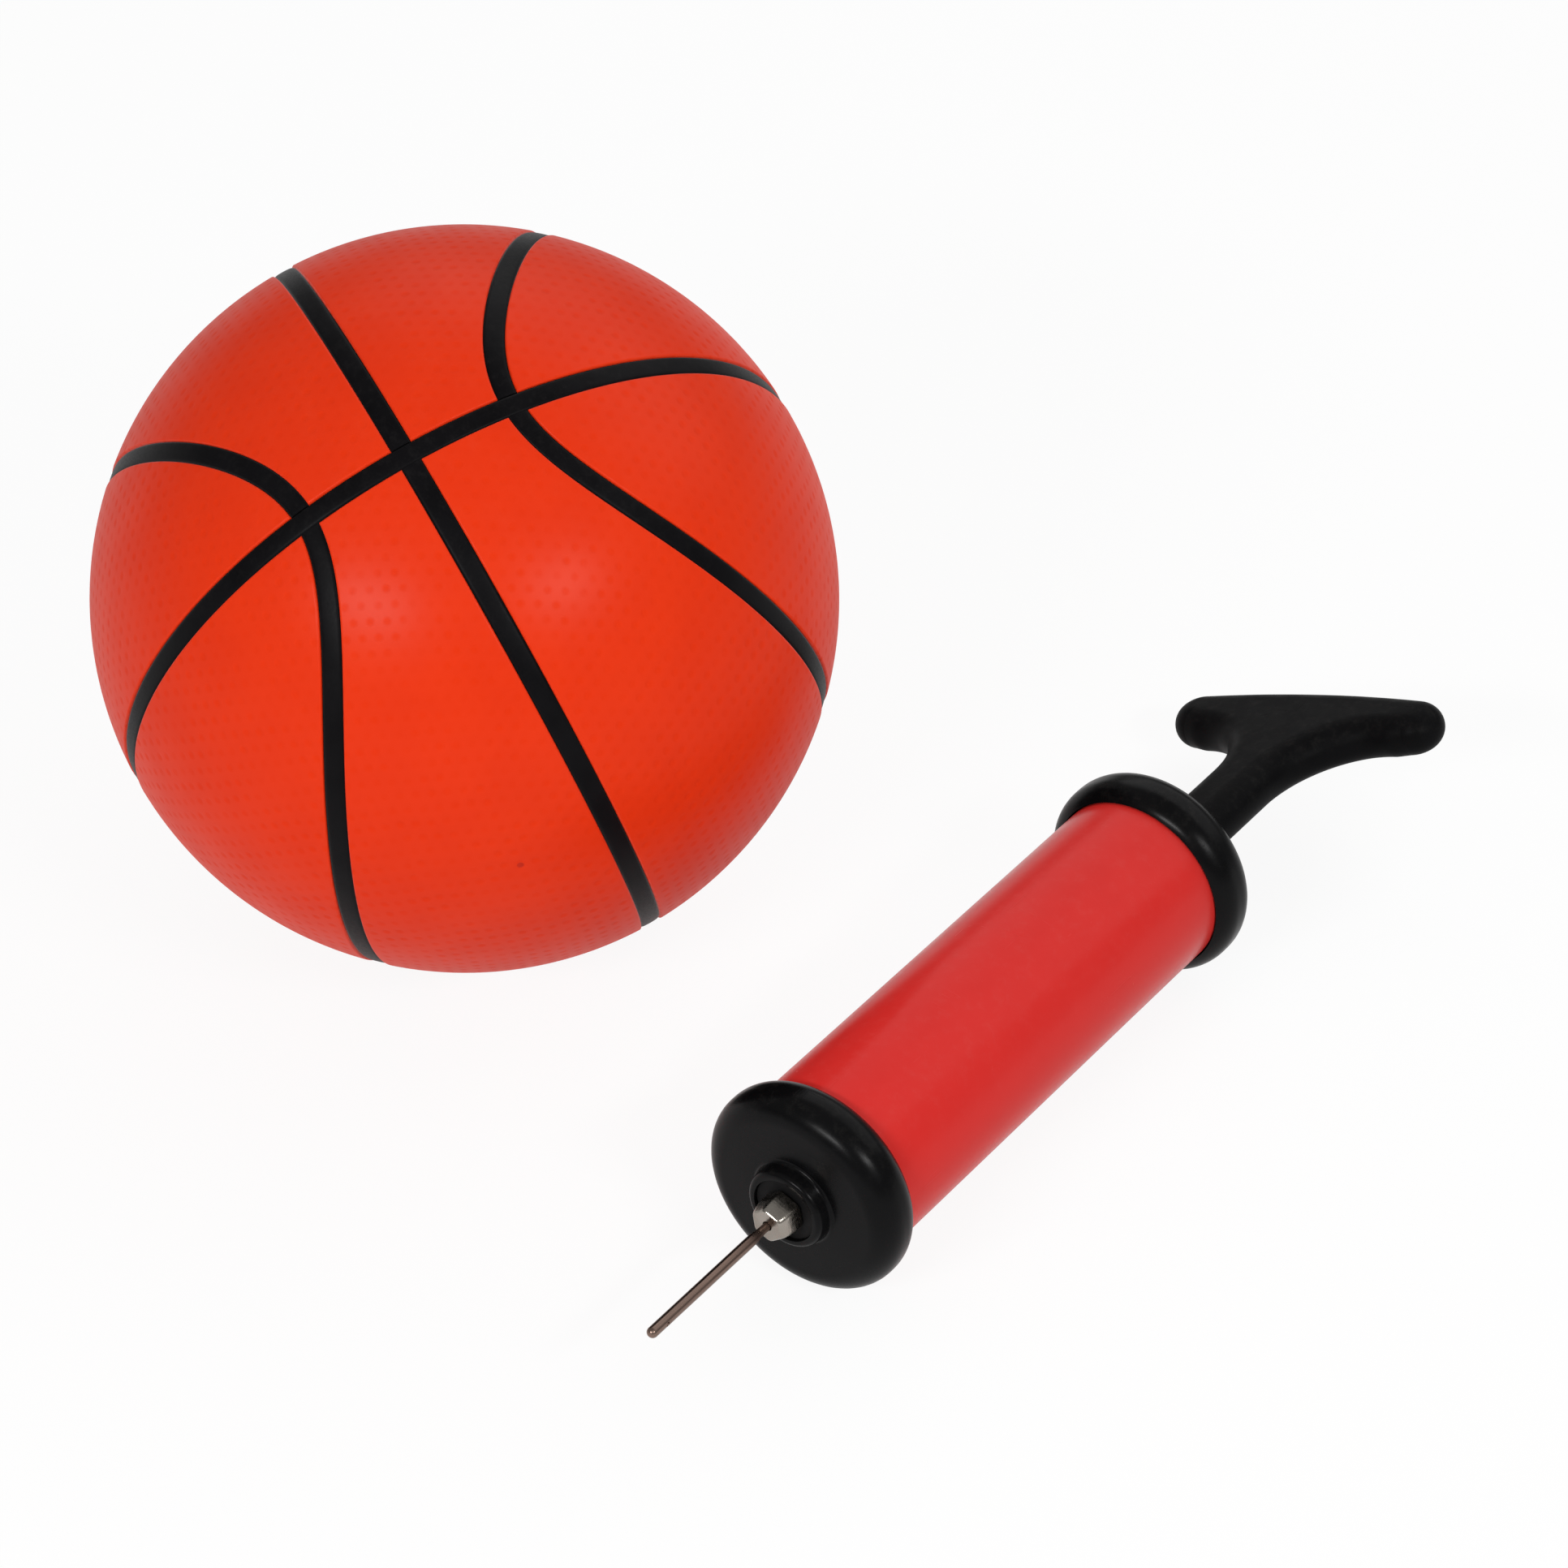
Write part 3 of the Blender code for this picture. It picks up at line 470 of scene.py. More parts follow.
redPlastic = makeRedPlastic()
capPlastic = makeBlackPlastic("blackCapPlastic", (11, 11, 12), rough=0.26, grainScale=1800.0,
                              grainDepth=0.000004, specular=0.085)
handlePlastic = makeBlackPlastic("satinHandlePlastic", (16, 16, 17), rough=0.42, grainScale=2800.0,
                                 grainDepth=0.00002, specular=0.025)
rodPlastic = makeBlackPlastic("plungerPlastic", (16, 16, 17), rough=0.33, grainScale=2200.0,
                              grainDepth=0.000008, specular=0.16)
coverRubber = makeOrangeRubber()
seamRubber = makeBlackRubber("seamStripRubber", (9, 8, 10), (14, 13, 15), rough=0.42, grainScale=2400.0,
                             grainDepth=0.000012)
sealRubber = makeBlackRubber("sealRubber", (20, 20, 21), (33, 32, 32), rough=0.62, grainScale=1800.0,
                             grainDepth=0.00001)
bladderRubber = makeBlackRubber("bladderRubber", (24, 23, 23), (40, 39, 38), rough=0.7, grainScale=700.0,
                                grainDepth=0.00003)
nickelPlate = makeMetal("nickelCollar", (166, 160, 152), (144, 136, 127), rough=0.24, ringPitch=0.00018,
                        ringDepth=0.000001, dent=16.0)
needleSteel = makeMetal("needleSteel", (150, 128, 117), (112, 92, 83), rough=0.30, ringPitch=0.0004,
                        ringDepth=0.000001, stretch=(1.0, 0.04, 1.0))
turnedBrass = makeMetal("insertBrass", (196, 160, 92), (158, 122, 66), rough=0.30, ringPitch=0.0002,
                        ringDepth=0.000008)
print("finishes made")


# Barrel and caps

def makeBarrel():
    tube = dict(radius=0.0170, wall=0.0018, shown=0.0942, edge=0.0004, sides=160)
    outline = ringOutline(tube["radius"], tube["radius"] - tube["wall"], -barrelSeat,
                          tube["shown"] + barrelSeat, tube["edge"])
    addPiece("barrelTube", *turned(outline, tube["sides"]), "pump_body", "barrel", "red_plastic", redPlastic)


# Both caps share their round rim, and lie on it
rim = dict(radius=axisZ, edge=0.0046, socket=0.0173, arcSteps=12, sides=160)
rimCentre = rim["radius"] - rim["edge"]
rimLip = math.acos((rim["socket"] - rimCentre) / rim["edge"])  # where the rim's round meets the barrel
lipDepth = rim["edge"] * (1 - math.sin(rimLip))
lipCorner = rim["edge"] * (1 - math.tan(rimLip / 2))


def makeFrontCap():
    cap = dict(face=-0.0100, bossBase=0.0079, bossFoot=0.0008, bossFront=0.0075, bossFace=-0.0130,
               bossEdge=0.0010, bore=0.0061, step=-0.0050, chamber=0.0052, seat=-0.0025, port=0.0015,
               portEdge=0.0002, hub=0.0149, hubEnd=-0.0010, hubEdge=0.0003, groove=0.0132,
               grooveFrom=-0.0049, grooveTo=-0.0029, socketEnd=-0.0068, fine=0.0001)
    outline = rounded([
        (rim["socket"], -lipDepth, 0), (rim["radius"], -lipCorner, rim["edge"]),
        (rim["radius"], cap["face"], rim["edge"]), (cap["bossBase"], cap["face"], cap["bossFoot"]),
        (cap["bossFront"], cap["bossFace"], cap["bossEdge"]), (cap["bore"], cap["bossFace"], cap["fine"]),
        (cap["bore"], cap["step"], 0), (cap["chamber"], cap["step"], 0), (cap["chamber"], cap["seat"], 0),
        (cap["port"], cap["seat"], cap["fine"]), (cap["port"], cap["hubEnd"], cap["portEdge"]),
        (cap["hub"], cap["hubEnd"], cap["hubEdge"]), (cap["hub"], cap["grooveTo"], cap["fine"]),
        (cap["groove"], cap["grooveTo"], 0), (cap["groove"], cap["grooveFrom"], 0),
        (cap["hub"], cap["grooveFrom"], cap["fine"]), (cap["hub"], cap["socketEnd"], 0),
        (rim["socket"], cap["socketEnd"], 0)], rim["arcSteps"])
    addPiece("frontCapShell", *turned(outline, rim["sides"]), "pump_body", "front_cap", "black_plastic",
             capPlastic)


def makeRearCap():
    cap = dict(mouth=0.0942, face=0.1047, guide=0.0058, sleeve=0.0080, sleeveEnd=0.0920, socketEnd=0.1010,
               edge=0.0003)
    outline = rounded([
        (cap["guide"], cap["face"], cap["edge"]), (rim["radius"], cap["face"], rim["edge"]),
        (rim["radius"], cap["mouth"] + lipCorner, rim["edge"]), (rim["socket"], cap["mouth"] + lipDepth, 0),
        (rim["socket"], cap["socketEnd"], 0), (cap["sleeve"], cap["socketEnd"], cap["edge"]),
        (cap["sleeve"], cap["sleeveEnd"], cap["edge"]), (cap["guide"], cap["sleeveEnd"], cap["edge"])],
        rim["arcSteps"])
    addPiece("rearCapShell", *turned(outline, rim["sides"]), "pump_body", "rear_cap", "black_plastic",
             capPlastic)


makeBarrel()
makeFrontCap()
makeRearCap()
print("barrel and caps made")


# Needle

def makeWasher():
    # fills its recess in the boss
    washer = dict(outer=0.00605, inner=0.0032, front=-0.0123, back=-0.0115, edge=0.0001, sides=96)
    outline = ringOutline(washer["outer"], washer["inner"], washer["front"], washer["back"], washer["edge"])
    addPiece("needleWasherRing", *turned(outline, washer["sides"]), "needle_seal", "needle_washer",
             "seal_rubber", sealRubber)


def makeCollar():
    # a turned outline with a long domed front; a soft minimum flattens its head into a hexagon that
    # tapers with the dome, and along the shank a V groove winds round it
    collar = dict(radius=0.0040, flats=0.0073, turn=10.0, soften=60, shoulder=-0.0126, shoulderEdge=0.0002,
                  domeFrom=-0.0132, domeSteps=12, nose=0.0028, noseEnd=-0.0176, neck=0.0029,
                  neckEnd=-0.0112, neckEdge=0.0003, thread=0.00385, threadEnd=-0.0063, threadEdge=0.0004,
                  pitch=0.000794, groove=0.00042, flank=1.3, crestShare=0.9, tubeBore=0.00085,
                  tubeEdge=0.0002, tubeSeat=-0.0136, airway=0.0007, arcSteps=5, step=0.00013, sides=144,
                  crease=28.0)
    quarter = np.radians(np.linspace(0, 90, collar["domeSteps"]))
    inwards, forwards = collar["radius"] - collar["nose"], collar["noseEnd"] - collar["domeFrom"]
    dome = [(collar["nose"] + inwards * math.cos(angle), collar["domeFrom"] + forwards * math.sin(angle), 0)
            for angle in quarter]
    outline = rounded([(collar["airway"], collar["threadEnd"], 0),
                       (collar["thread"], collar["threadEnd"], collar["threadEdge"]),
                       (collar["thread"], collar["neckEnd"], collar["neckEdge"]),
                       (collar["neck"], collar["neckEnd"], 0), (collar["neck"], collar["shoulder"], 0),
                       (collar["radius"], collar["shoulder"], collar["shoulderEdge"]), *dome,
                       (collar["tubeBore"], collar["noseEnd"], collar["tubeEdge"]),
                       (collar["tubeBore"], collar["tubeSeat"], 0),
                       (collar["airway"], collar["tubeSeat"], 0)], collar["arcSteps"])
    outline = dense(outline, collar["step"])
    turn = np.linspace(0, 2 * np.pi, collar["sides"], endpoint=False)[None]
    radius, station = outline[:, :1], outline[:, 1:]
    flatTurn = np.mod(turn - math.radians(collar["turn"]) + np.pi / 6, np.pi / 3) - np.pi / 6
    hexagon = collar["flats"] / 2 / np.cos(flatTurn) / collar["radius"]
    onHead = np.clip((radius - collar["tubeBore"]) / (collar["nose"] - collar["tubeBore"]), 0, 1)
    head = radius * (1 + (softMin(np.ones_like(turn), hexagon, collar["soften"]) - 1) * onHead)
    onShank = (radius > collar["crestShare"] * collar["thread"]) & (station > collar["neckEnd"])
    wind = np.mod(station / collar["pitch"] + turn / (2 * np.pi), 1.0)
    groove = collar["groove"] * np.clip(1 - np.abs(2 * wind - 1) * collar["flank"], 0, 1)
    radius = np.where(onShank, radius - groove, head)
    addPiece("needleCollarHex", around(radius, turn, station),
             [cells(len(outline), collar["sides"], True, True)], "needle", "needle_collar", "nickel",
             nickelPlate, collar["crease"])


def makeTube():
    # a straight tube with a round tip, drawn in a little where it leaves the collar; a small round pit
    # in its side is where the air comes out
    tube = dict(radius=0.0010, tip=-0.0497, end=-0.0139, drawnIn=0.25, drawnFrom=-0.0225, drawnTo=-0.0185,
                hole=0.0004, holeFromTip=0.0040, holeDepth=0.0006, holeField=0.0008, holeRim=1.05,
                holeWall=0.25, tipSteps=14, holeSteps=41, beforeSteps=10, behindSteps=40, sides=72)
    bend = np.radians(np.linspace(0, 90, tube["tipSteps"]))
    tipRadius = tube["radius"] * np.sin(bend)
    tipStation = tube["tip"] + tube["radius"] * (1 - np.cos(bend))
    holeAt = tube["tip"] + tube["holeFromTip"]
    near = holeAt + tube["holeField"] * np.linspace(-1, 1, tube["holeSteps"])
    before = np.linspace(tipStation[-1], near[0], tube["beforeSteps"])[1:-1]
    behind = np.linspace(near[-1], tube["end"], tube["behindSteps"])[1:]
    body = np.concatenate([before, near, behind])
    station = np.concatenate([tipStation, body, [tube["end"]]])[:, None]
    radius = np.concatenate([tipRadius, np.full(len(body), tube["radius"]), [0]])[:, None]
    turn = np.linspace(-np.pi, np.pi, tube["sides"], endpoint=False)[None]
    drawn = np.clip((station - tube["drawnFrom"]) / (tube["drawnTo"] - tube["drawnFrom"]), 0, 1)
    radius = radius * (1 - tube["drawnIn"] * drawn * drawn * (3 - 2 * drawn))
    away = np.hypot(radius * turn, station - holeAt) / tube["hole"]
    pit = np.clip((tube["holeRim"] - away) / tube["holeWall"], 0, 1)
    radius = radius - tube["holeDepth"] * pit * pit * (3 - 2 * pit)
    addPiece("needleTubeShaft", around(radius, turn, station),
             [cells(len(station), tube["sides"], False, True)], "needle", "needle_tube", "steel", needleSteel)


makeWasher()
makeCollar()
makeTube()
print("needle made")


# Plunger and handle

def makePlunger():
    # every section of the rod is one radius for each turn angle: round flanges, a notched front flange,
    # and a cross whose arms end on a circle, with a soft minimum for its corners
    rod = dict(front=-0.0007, frontBack=0.0008, rearFront=0.0038, back=0.0053, flange=0.0147, groove=0.0122,
               notchWidth=0.0030, notchFloor=0.0125, radius=0.0055, rib=0.0022, root=1.12, rootRun=0.0006,
               top=0.1047, topShare=0.96, spigot=0.0033, spigotEnd=0.1190, ease=0.0003, soften=30,
               sides=320, crease=30.0)
    turn = np.linspace(0, 2 * np.pi, rod["sides"], endpoint=False)
    armTurn = np.abs(np.mod(turn + np.pi / 4, np.pi / 2) - np.pi / 4)
    notchTurn = np.pi / 4 - armTurn
    armSide = rod["rib"] / 2 / np.maximum(np.sin(armTurn), 1e-4)
    cross = softMin(np.full_like(turn, rod["radius"]), armSide, rod["soften"])
    inNotch = rod["flange"] * np.sin(notchTurn) < rod["notchWidth"] / 2
    notched = np.where(inNotch, rod["notchFloor"] / np.cos(notchTurn), rod["flange"])
    flange, groove, spigot = (np.full_like(turn, rod[key]) for key in ("flange", "groove", "spigot"))
    slim = 1 - rod["ease"] / rod["flange"]
    crossTop = cross * rod["topShare"]
    rows = [
        (rod["front"], 0 * turn), (rod["front"], notched * slim), (rod["front"] + rod["ease"], notched),
        (rod["frontBack"], notched), (rod["frontBack"], groove), (rod["rearFront"], groove),
        (rod["rearFront"], flange), (rod["back"] - rod["ease"], flange), (rod["back"], flange * slim),
        (rod["back"], cross * rod["root"]), (rod["back"] + rod["rootRun"], cross),
        (rod["top"] - rod["ease"], cross), (rod["top"], crossTop), (rod["top"], np.minimum(crossTop, spigot)),
        (rod["top"], spigot), (rod["spigotEnd"] - rod["ease"], spigot),
        (rod["spigotEnd"], spigot - rod["ease"]), (rod["spigotEnd"], 0 * turn)]
    station = np.array([row[0] for row in rows])[:, None]
    radius = np.array([row[1] for row in rows])
    addPiece("plungerCrossRod", around(radius, turn[None], station),
             [cells(len(rows), rod["sides"], False, True)], "plunger", "plunger_rod", "black_plastic",
             rodPlastic, rod["crease"])


def makeHandle():
    # right half of the outline from neck to crown; at each step a closed loop goes round the handle: half
    # circle on the right edge, across the flat face, half circle on the left edge, back over the other face
    grip = dict(edge=0.0044, neck=0.0023, foot=0.1050, flareWide=0.0195, flareTall=0.0218, under=0.1522,
                taper=0.0008, endAt=0.02445, endRound=0.0014, crown=0.0015, roll=23.0, socket=0.0036,
                socketEnd=0.1193, halfSteps=25, flatSteps=14, neckSteps=24, flareSteps=60, underSteps=6,
                endSteps=33, crownSteps=42)
    flareAt = (grip["neck"] + grip["flareWide"], grip["under"] - grip["flareTall"])
    neckRun = np.linspace(grip["foot"], flareAt[1], grip["neckSteps"], endpoint=False)
    sweep = np.radians(np.linspace(180, 90, grip["flareSteps"], endpoint=False))
    endMiddle = grip["under"] + grip["taper"] + grip["endRound"]
    endSweep = np.radians(np.linspace(-90, 90, grip["endSteps"]))
    crownRun = np.linspace(grip["endAt"], 0, grip["crownSteps"])[1:]
    crownTop = endMiddle + grip["endRound"] + grip["crown"]
    underRun = np.linspace(0, 1, grip["underSteps"], endpoint=False)
    across = np.concatenate([np.full(len(neckRun), grip["neck"]),
                             flareAt[0] + grip["flareWide"] * np.cos(sweep),
                             flareAt[0] + (grip["endAt"] - flareAt[0]) * underRun,
                             grip["endAt"] + grip["endRound"] * np.cos(endSweep), crownRun])
    along = np.concatenate([neckRun, flareAt[1] + grip["flareTall"] * np.sin(sweep),
                            grip["under"] + grip["taper"] * underRun,
                            endMiddle + grip["endRound"] * np.sin(endSweep),
                            crownTop - grip["crown"] * (crownRun / grip["endAt"]) ** 2])
    stepAcross, stepAlong = np.gradient(across), np.gradient(along)
    length = np.hypot(stepAcross, stepAlong)
    outAcross, outAlong = stepAlong / length, -stepAcross / length
    outAcross[0], outAlong[0] = 1, 0
    outAcross[-1], outAlong[-1] = 0, 1
    half = np.linspace(-np.pi / 2, np.pi / 2, grip["halfSteps"])[None]
    flat = np.linspace(1, -1, grip["flatSteps"])[None, 1:-1]
    across, along, outAcross, outAlong = (value[:, None] for value in (across, along, outAcross, outAlong))
    edgeAcross = across + grip["edge"] * np.cos(half) * outAcross
    edgeAlong = along + grip["edge"] * np.cos(half) * outAlong
    edgeLevel = grip["edge"] * np.sin(half) + 0 * across
    faceAcross, faceAlong = across * flat, along + 0 * flat
    faceLevel = np.full(faceAcross.shape, grip["edge"])
    loopAcross = np.hstack([edgeAcross, faceAcross, -edgeAcross[:, ::-1], -faceAcross])
    loopAlong = np.hstack([edgeAlong, faceAlong, edgeAlong[:, ::-1], faceAlong])
    loopLevel = np.hstack([edgeLevel, faceLevel, edgeLevel[:, ::-1], -faceLevel])
    # the foot is flat, with a round socket for the rod's spigot
    turn = np.arctan2(loopLevel[:1], loopAcross[:1])
    socketAcross, socketLevel = grip["socket"] * np.cos(turn), grip["socket"] * np.sin(turn)
    socketEnd = np.full_like(turn, grip["socketEnd"])
    loopAcross = np.vstack([0 * turn, socketAcross, socketAcross, loopAcross])
    loopAlong = np.vstack([socketEnd, socketEnd, np.full_like(turn, grip["foot"]), loopAlong])
    loopLevel = np.vstack([0 * turn, socketLevel, socketLevel, loopLevel])
    roll = math.radians(grip["roll"])
    points = np.stack([axisX + loopAcross * math.cos(roll) - loopLevel * math.sin(roll), mouthY + loopAlong,
                       axisZ + loopAcross * math.sin(roll) + loopLevel * math.cos(roll)], -1)
    addPiece("pumpHandle", points, [cells(*loopAcross.shape, False, True)], "plunger", "handle",
             "satin_black", handlePlastic)


makePlunger()
makeHandle()
print("plunger and handle made")


# Ball cover and seams

gap = ball["channel"] / 2 / ball["radius"]                  # half a channel, as an angle
quarters = [(y, z) for y in (1, -1) for z in (1, -1)]       # mirrored copies of a panel or a strip


def loopSlope(azimuth):
    # each seam loop is an elliptical cone cut by the ball: its polar angle, and how it slants
    longPart = 1 / math.tan(math.radians(ball["loopLong"])) ** 2
    shortPart = 1 / math.tan(math.radians(ball["loopShort"])) ** 2
    spread = longPart * np.cos(azimuth) ** 2 + shortPart * np.sin(azimuth) ** 2
    polar = np.arctan(1 / np.sqrt(spread))
    lean = np.sin(azimuth) * np.cos(azimuth) * (longPart - shortPart) / (np.sqrt(spread) * (1 + spread))
    return polar, np.sqrt(1 + (lean / np.sin(polar)) ** 2)


def loopPolar(azimuth, offset):
    # offset is an angle measured square to the loop
    polar, stretch = loopSlope(azimuth)
    return polar + offset * stretch


def band(inner, outer, across, along, gap):
    # a band between two curves round the loops' axis; its ends stop at the seam ring's channel
    azimuth = np.pi * along
    for _ in range(5):
        polar = inner(azimuth) + (outer(azimuth) - inner(azimuth)) * across
        edge = np.arcsin(math.sin(gap) / np.sin(polar))
        azimuth = edge + (np.pi - 2 * edge) * along
    return onBall(polar, azimuth)


def insideLoop(across, along, gap):
    # half of a loop's inside: lines square to the seam ring's channel, out to the loop's channel
    azimuth = np.pi * along
    for _ in range(7):
        polar = loopPolar(azimuth, -gap)
        edge = np.arcsin(math.sin(gap) / np.sin(polar))
        azimuth = edge + (np.pi - 2 * edge) * along
    far, side = np.tan(polar) * np.sin(azimuth), np.tan(polar) * np.cos(azimuth)
    near = math.tan(gap) * np.sqrt(1 + side ** 2)
    line = np.stack(np.broadcast_arrays(side, 1.0, near + (far - near) * across), -1)
    return line / np.linalg.norm(line, axis=-1, keepdims=True)


def fromSeam(direction):
    # distance along the ball's surface to the middle of the nearest seam
    x, y, z = np.moveaxis(direction, -1, 0)
    loop, stretch = loopSlope(np.arctan2(z, x))
    toLoop = np.abs(np.arccos(np.clip(np.abs(y), 0, 1)) - loop) / stretch
    nearest = np.minimum(np.minimum(np.arcsin(np.abs(z)), np.arcsin(np.abs(y))), toLoop)
    return ball["radius"] * nearest


def makePanels():
    # each panel's outside follows the ball and rolls down in a quarter circle where it meets a channel
    panel = dict(edge=0.00040, acrossSteps=70, alongSteps=190, gather=0.86, funnel=0.0022,
                 funnelDepth=0.00030, crease=50.0)
    across, along = np.meshgrid(eased(panel["acrossSteps"], panel["gather"]),
                                eased(panel["alongSteps"], panel["gather"]), indexing="ij")
    between = band(lambda azimuth: loopPolar(azimuth, gap), lambda azimuth: np.pi / 2 - gap + 0 * azimuth,
                   across, along, gap)
    inside = insideLoop(across, along, gap)
    rows, cols = across.shape
    number = np.arange(rows * cols).reshape(rows, cols)
    border = np.concatenate([number[0, :-1], number[:-1, -1], number[-1, :0:-1], number[:0:-1, 0]])
    ahead = np.roll(border, -1)
    wall = np.stack([border, ahead, ahead + rows * cols, border + rows * cols], -1)
    faces = [cells(rows, cols), cells(rows, cols) + rows * cols, wall]
    forms = [(form, signs) for form in (between, inside) for signs in quarters]
    for index, (form, signs) in enumerate(forms, 1):
        direction = form * (1, *signs)
        away = np.clip(fromSeam(direction) - ball["channel"] / 2, 0, panel["edge"])
        drop = panel["edge"] - np.sqrt(panel["edge"] ** 2 - (panel["edge"] - away) ** 2)
        toValve = ball["radius"] * np.arccos(np.clip(direction @ valveDirection, -1, 1)) / panel["funnel"]
        drop += panel["funnelDepth"] * np.clip(1 - toValve, 0, 1) ** 2
        outside = inPlace(direction, ball["radius"] - drop)
        outside[..., 2] = np.maximum(outside[..., 2], 0)  # pressed flat where it lies on the floor
        lining = inPlace(direction, np.full(direction.shape[:-1], ball["radius"] - ball["cover"]))
        addPiece(f"coverPanel{index}", np.stack([outside, lining]), faces, "basketball",
                 f"cover_panel_{index}", "orange_rubber", coverRubber, panel["crease"])


def makeSeams():
    # a strip's section: crowned top with rounded shoulders, flat underside; carried along each seam
    strip = dict(width=0.0037, recess=0.00020, crown=0.00008, shoulder=0.00025, shoulderPower=10,
                 topSteps=17, ringSteps=420, runSteps=210, crease=60.0)
    halfAngle = strip["width"] / 2 / ball["radius"]
    side = np.linspace(-1, 1, strip["topSteps"])
    rounding = strip["crown"] * side ** 2 + strip["shoulder"] * side ** strip["shoulderPower"]
    top = ball["radius"] - strip["recess"] - rounding
    bottom = np.full(2, ball["radius"] - ball["cover"])
    across = (np.concatenate([side, [1, -1]]) / 2 + 0.5)[None]
    height = np.concatenate([top, bottom])[None]
    cols = across.shape[1]

    turn = np.linspace(0, 2 * np.pi, strip["ringSteps"], endpoint=False)[:, None]
    tilt = halfAngle * (2 * across - 1)
    ring = np.stack([np.cos(tilt) * np.cos(turn), np.cos(tilt) * np.sin(turn), np.sin(tilt) + 0 * turn], -1)
    addPiece("seamRingStrip", inPlace(ring, height + 0 * turn), [cells(len(turn), cols, True, True)],
             "basketball", "seam_ring", "seam_rubber", seamRubber, strip["crease"])

    along = np.linspace(0, 1, strip["runSteps"])[:, None]
    straight = band(lambda azimuth: np.pi / 2 - halfAngle + 0 * azimuth,
                    lambda azimuth: np.pi / 2 + halfAngle + 0 * azimuth, across, along, gap)
    looped = band(lambda azimuth: loopPolar(azimuth, -halfAngle),
                  lambda azimuth: loopPolar(azimuth, halfAngle), across, along, gap)
    last = (len(along) - 1) * cols
    faces = [cells(len(along), cols, False, True), np.arange(cols)[None], last + np.arange(cols)[None, ::-1]]
    runs = [(f"seam_half_{index}", straight, (1, z)) for index, z in enumerate((1, -1), 1)]
    runs += [(f"seam_loop_{index}", looped, signs) for index, signs in enumerate(quarters, 1)]
    for node, form, signs in runs:
        name = node.replace("seam_", "seam").replace("_", "Strip")
        addPiece(name, inPlace(form * (1, *signs), height + 0 * along), faces, "basketball", node,
                 "seam_rubber", seamRubber, strip["crease"])


makePanels()
makeSeams()
print("ball cover and seams made")

# Inner pieces keep their solids and take their finishes
innerLooks = dict(front_seal_ring=sealRubber, nozzle_insert=turnedBrass, valve_disc=sealRubber,
                  piston_ring=sealRubber, bladder=bladderRubber, ball_valve=sealRubber)
for node, look in innerLooks.items():
    for slot in frame["nodes"][node].material_slots:
        slot.material = look


# Studio

def makeFloor():
    # a pale matt floor; where camera, gloss or glass see it, a share of plain white lifts it, and the rest
    # keeps the shadow
    floor = dict(size=4.0, steps=9, below=0.0002, pale=0.80, lift=0.90, glossLift=0.45)
    mesh = bpy.data.meshes.new("studioFloor")
    grid = np.linspace(-floor["size"], floor["size"], floor["steps"])
    x, y = np.meshgrid(grid, grid, indexing="ij")
    points = np.stack([x, y, np.full_like(x, -floor["below"])], -1).reshape(-1, 3)
    mesh.from_pydata(points.tolist(), [], cells(floor["steps"], floor["steps"])[:, ::-1].tolist())
    piece = bpy.data.objects.new("studioFloor", mesh)
    scene.collection.objects.link(piece)
    look = bpy.data.materials.new("paleFloor")
    look.use_nodes = True
    tree = look.node_tree
    tree.nodes.clear()
    path = tree.nodes.new("ShaderNodeLightPath").outputs
    direct = calc(tree, "MAXIMUM", path["Is Camera Ray"], path["Is Transmission Ray"])
    seen = calc(tree, "MAXIMUM", direct, path["Is Glossy Ray"])
    grey = (floor["pale"], floor["pale"], floor["pale"], 1)
    matt = addNode(tree, "ShaderNodeBsdfDiffuse", {"Color": blendColour(tree, seen, grey, (1, 1, 1, 1))})
    white = addNode(tree, "ShaderNodeEmission", {"Color": (1, 1, 1, 1), "Strength": 1.0})
    mirrored = calc(tree, "MULTIPLY", path["Is Glossy Ray"], floor["glossLift"])
    share = calc(tree, "MAXIMUM", calc(tree, "MULTIPLY", direct, floor["lift"]), mirrored)
    both = addNode(tree, "ShaderNodeMixShader", {0: share, 1: matt.outputs[0], 2: white.outputs[0]})
    addNode(tree, "ShaderNodeOutputMaterial", {"Surface": both.outputs[0]})
    mesh.materials.append(look)


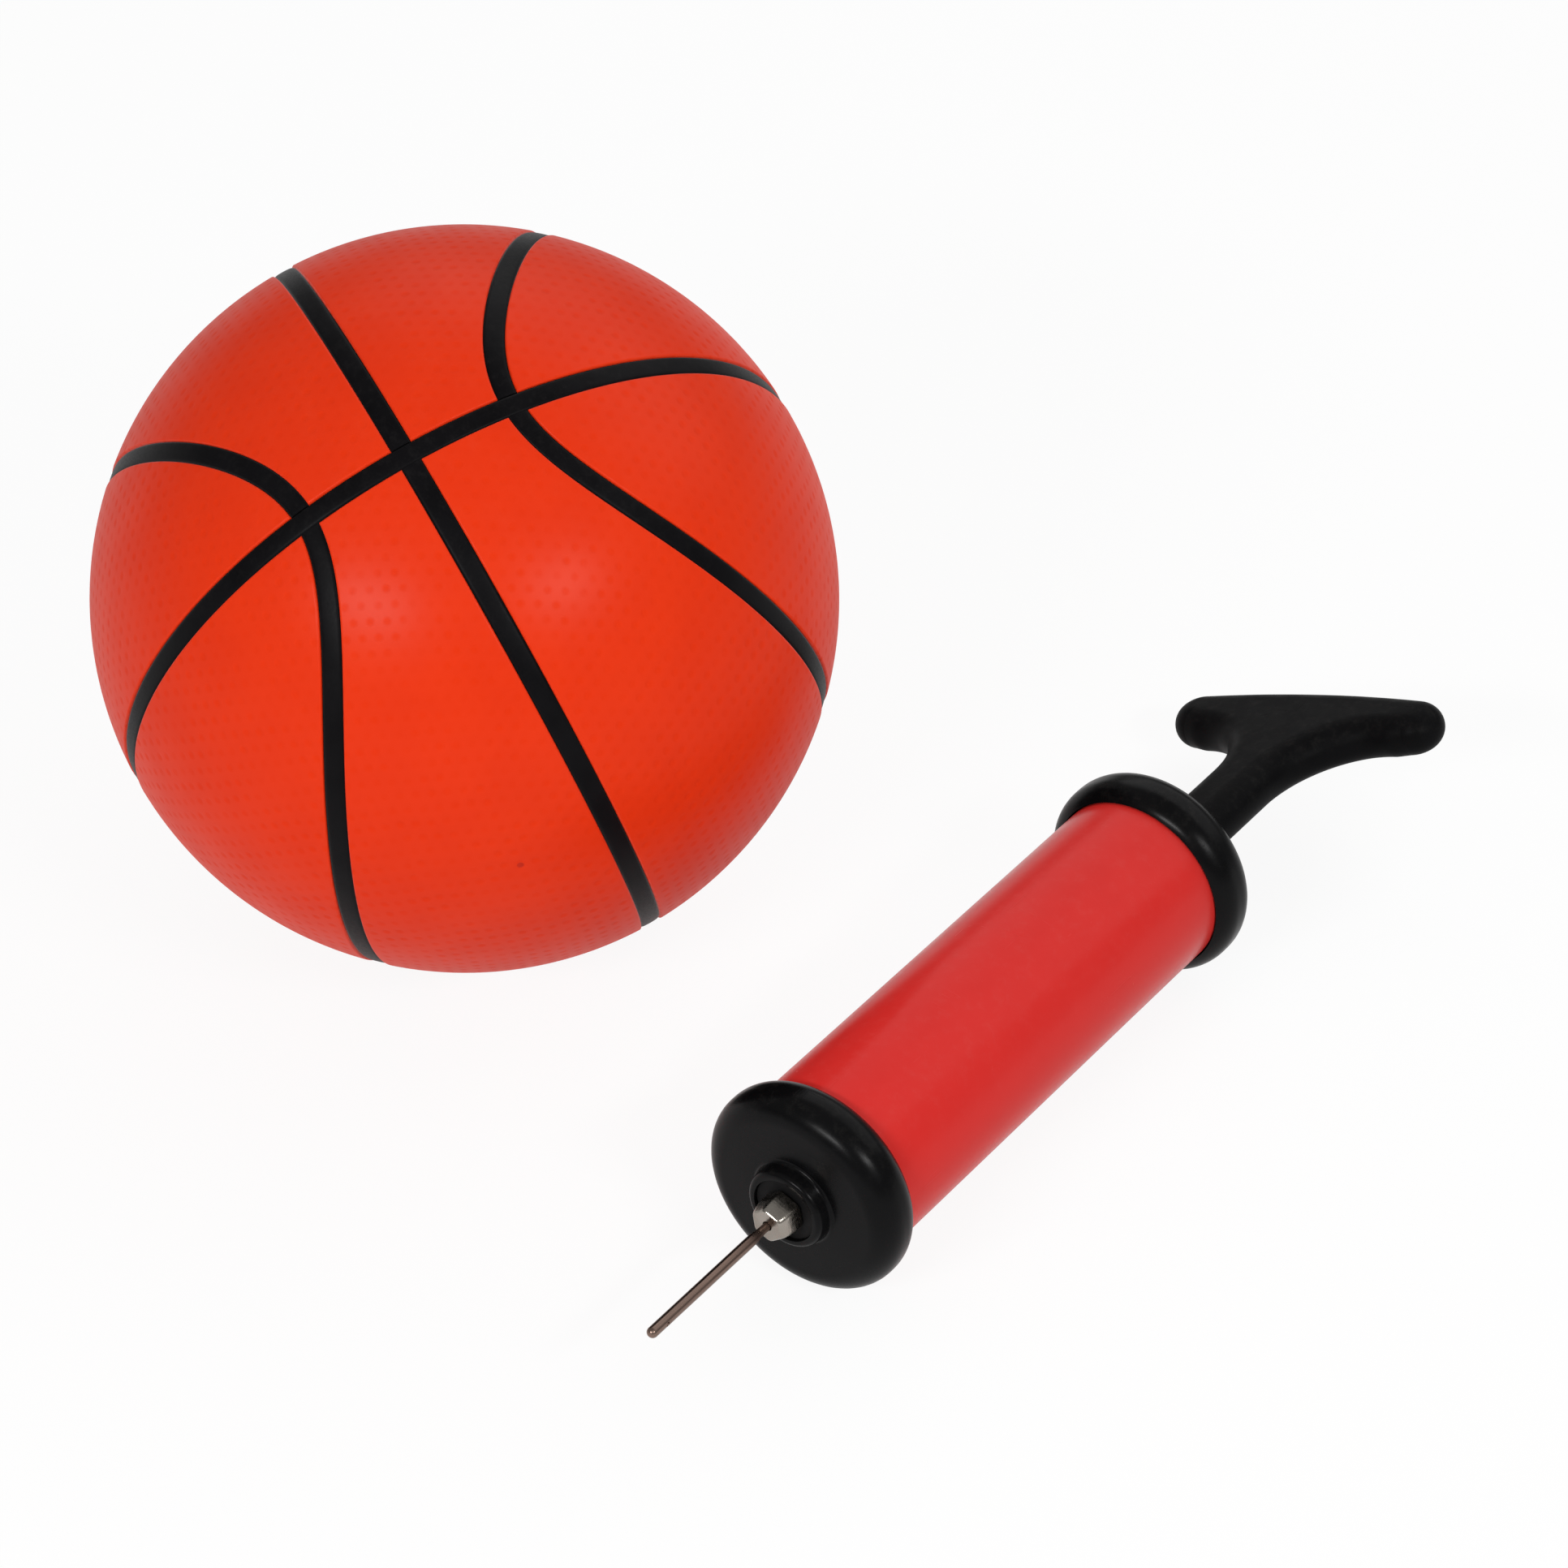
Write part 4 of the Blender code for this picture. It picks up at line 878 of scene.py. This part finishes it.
def makeWorld():
    # pale at the horizon, dim a little above it, brighter again towards the ceiling
    air = dict(horizon=0.50, low=0.16, lowAt=0.2, ceiling=0.36, edge=0.5)
    world = bpy.data.worlds.new("studioAir")
    world.use_nodes = True
    scene.world = world
    tree = world.node_tree
    tree.nodes.clear()
    direction = tree.nodes.new("ShaderNodeTexCoord").outputs["Generated"]
    height = addNode(tree, "ShaderNodeSeparateXYZ", {0: direction}).outputs[2]
    near = ramp(tree, height, 0.0, air["lowAt"], air["horizon"], air["low"])
    above = ramp(tree, height, air["lowAt"], air["edge"], 0.0, air["ceiling"] - air["low"])
    level = calc(tree, "ADD", near, above)
    glow = addNode(tree, "ShaderNodeBackground", {"Color": (1, 1, 1, 1), "Strength": level})
    addNode(tree, "ShaderNodeOutputWorld", {"Surface": glow.outputs[0]})


lampTarget = (0.0, 0.0, 0.04)
lamps = [
    dict(name="leftSoftbox", azimuth=-84.0, elevation=32.0, distance=1.1, wide=0.40, tall=0.08, watts=4.6),
    dict(name="rightSoftbox", azimuth=-16.0, elevation=36.0, distance=1.1, wide=0.36, tall=0.10, watts=3.4),
    dict(name="backSoftbox", azimuth=95.0, elevation=42.0, distance=1.3, wide=2.4, tall=0.9, watts=6.8),
]


def addLamp(name, azimuth, elevation, distance, wide, tall, watts):
    # a flat softbox in that direction from the set, turned towards it
    turn, lift = math.radians(azimuth), math.radians(elevation)
    arm = Vector((math.cos(turn) * math.cos(lift), math.sin(turn) * math.cos(lift), math.sin(lift)))
    lamp = bpy.data.lights.new(name, "AREA")
    lamp.shape = "RECTANGLE"
    lamp.size = wide
    lamp.size_y = tall
    lamp.energy = watts
    item = bpy.data.objects.new(name, lamp)
    item.location = Vector(lampTarget) + arm * distance
    item.rotation_euler = arm.to_track_quat("Z", "Y").to_euler()
    item.visible_camera = False
    scene.collection.objects.link(item)


def makeCamera():
    # place, sight and lens as fitted to the photograph
    view = dict(place=(0.423459, -0.53825, 0.568484), right=(0.80318, 0.59573, 0.0),
                up=(-0.36730, 0.49520, 0.7873), lens=109.2, sensor=36.0)
    right, up = Vector(view["right"]).normalized(), Vector(view["up"]).normalized()
    turn = Matrix((right, up, right.cross(up))).transposed().to_4x4()
    lens = bpy.data.cameras.new("photoCamera")
    lens.lens = view["lens"]
    lens.sensor_width = view["sensor"]
    item = bpy.data.objects.new("photoCamera", lens)
    item.matrix_world = Matrix.Translation(view["place"]) @ turn
    scene.collection.objects.link(item)
    scene.camera = item


makeFloor()
makeWorld()
for lamp in lamps:
    addLamp(**lamp)
makeCamera()
scene.view_settings.view_transform = "Standard"
print("studio made")
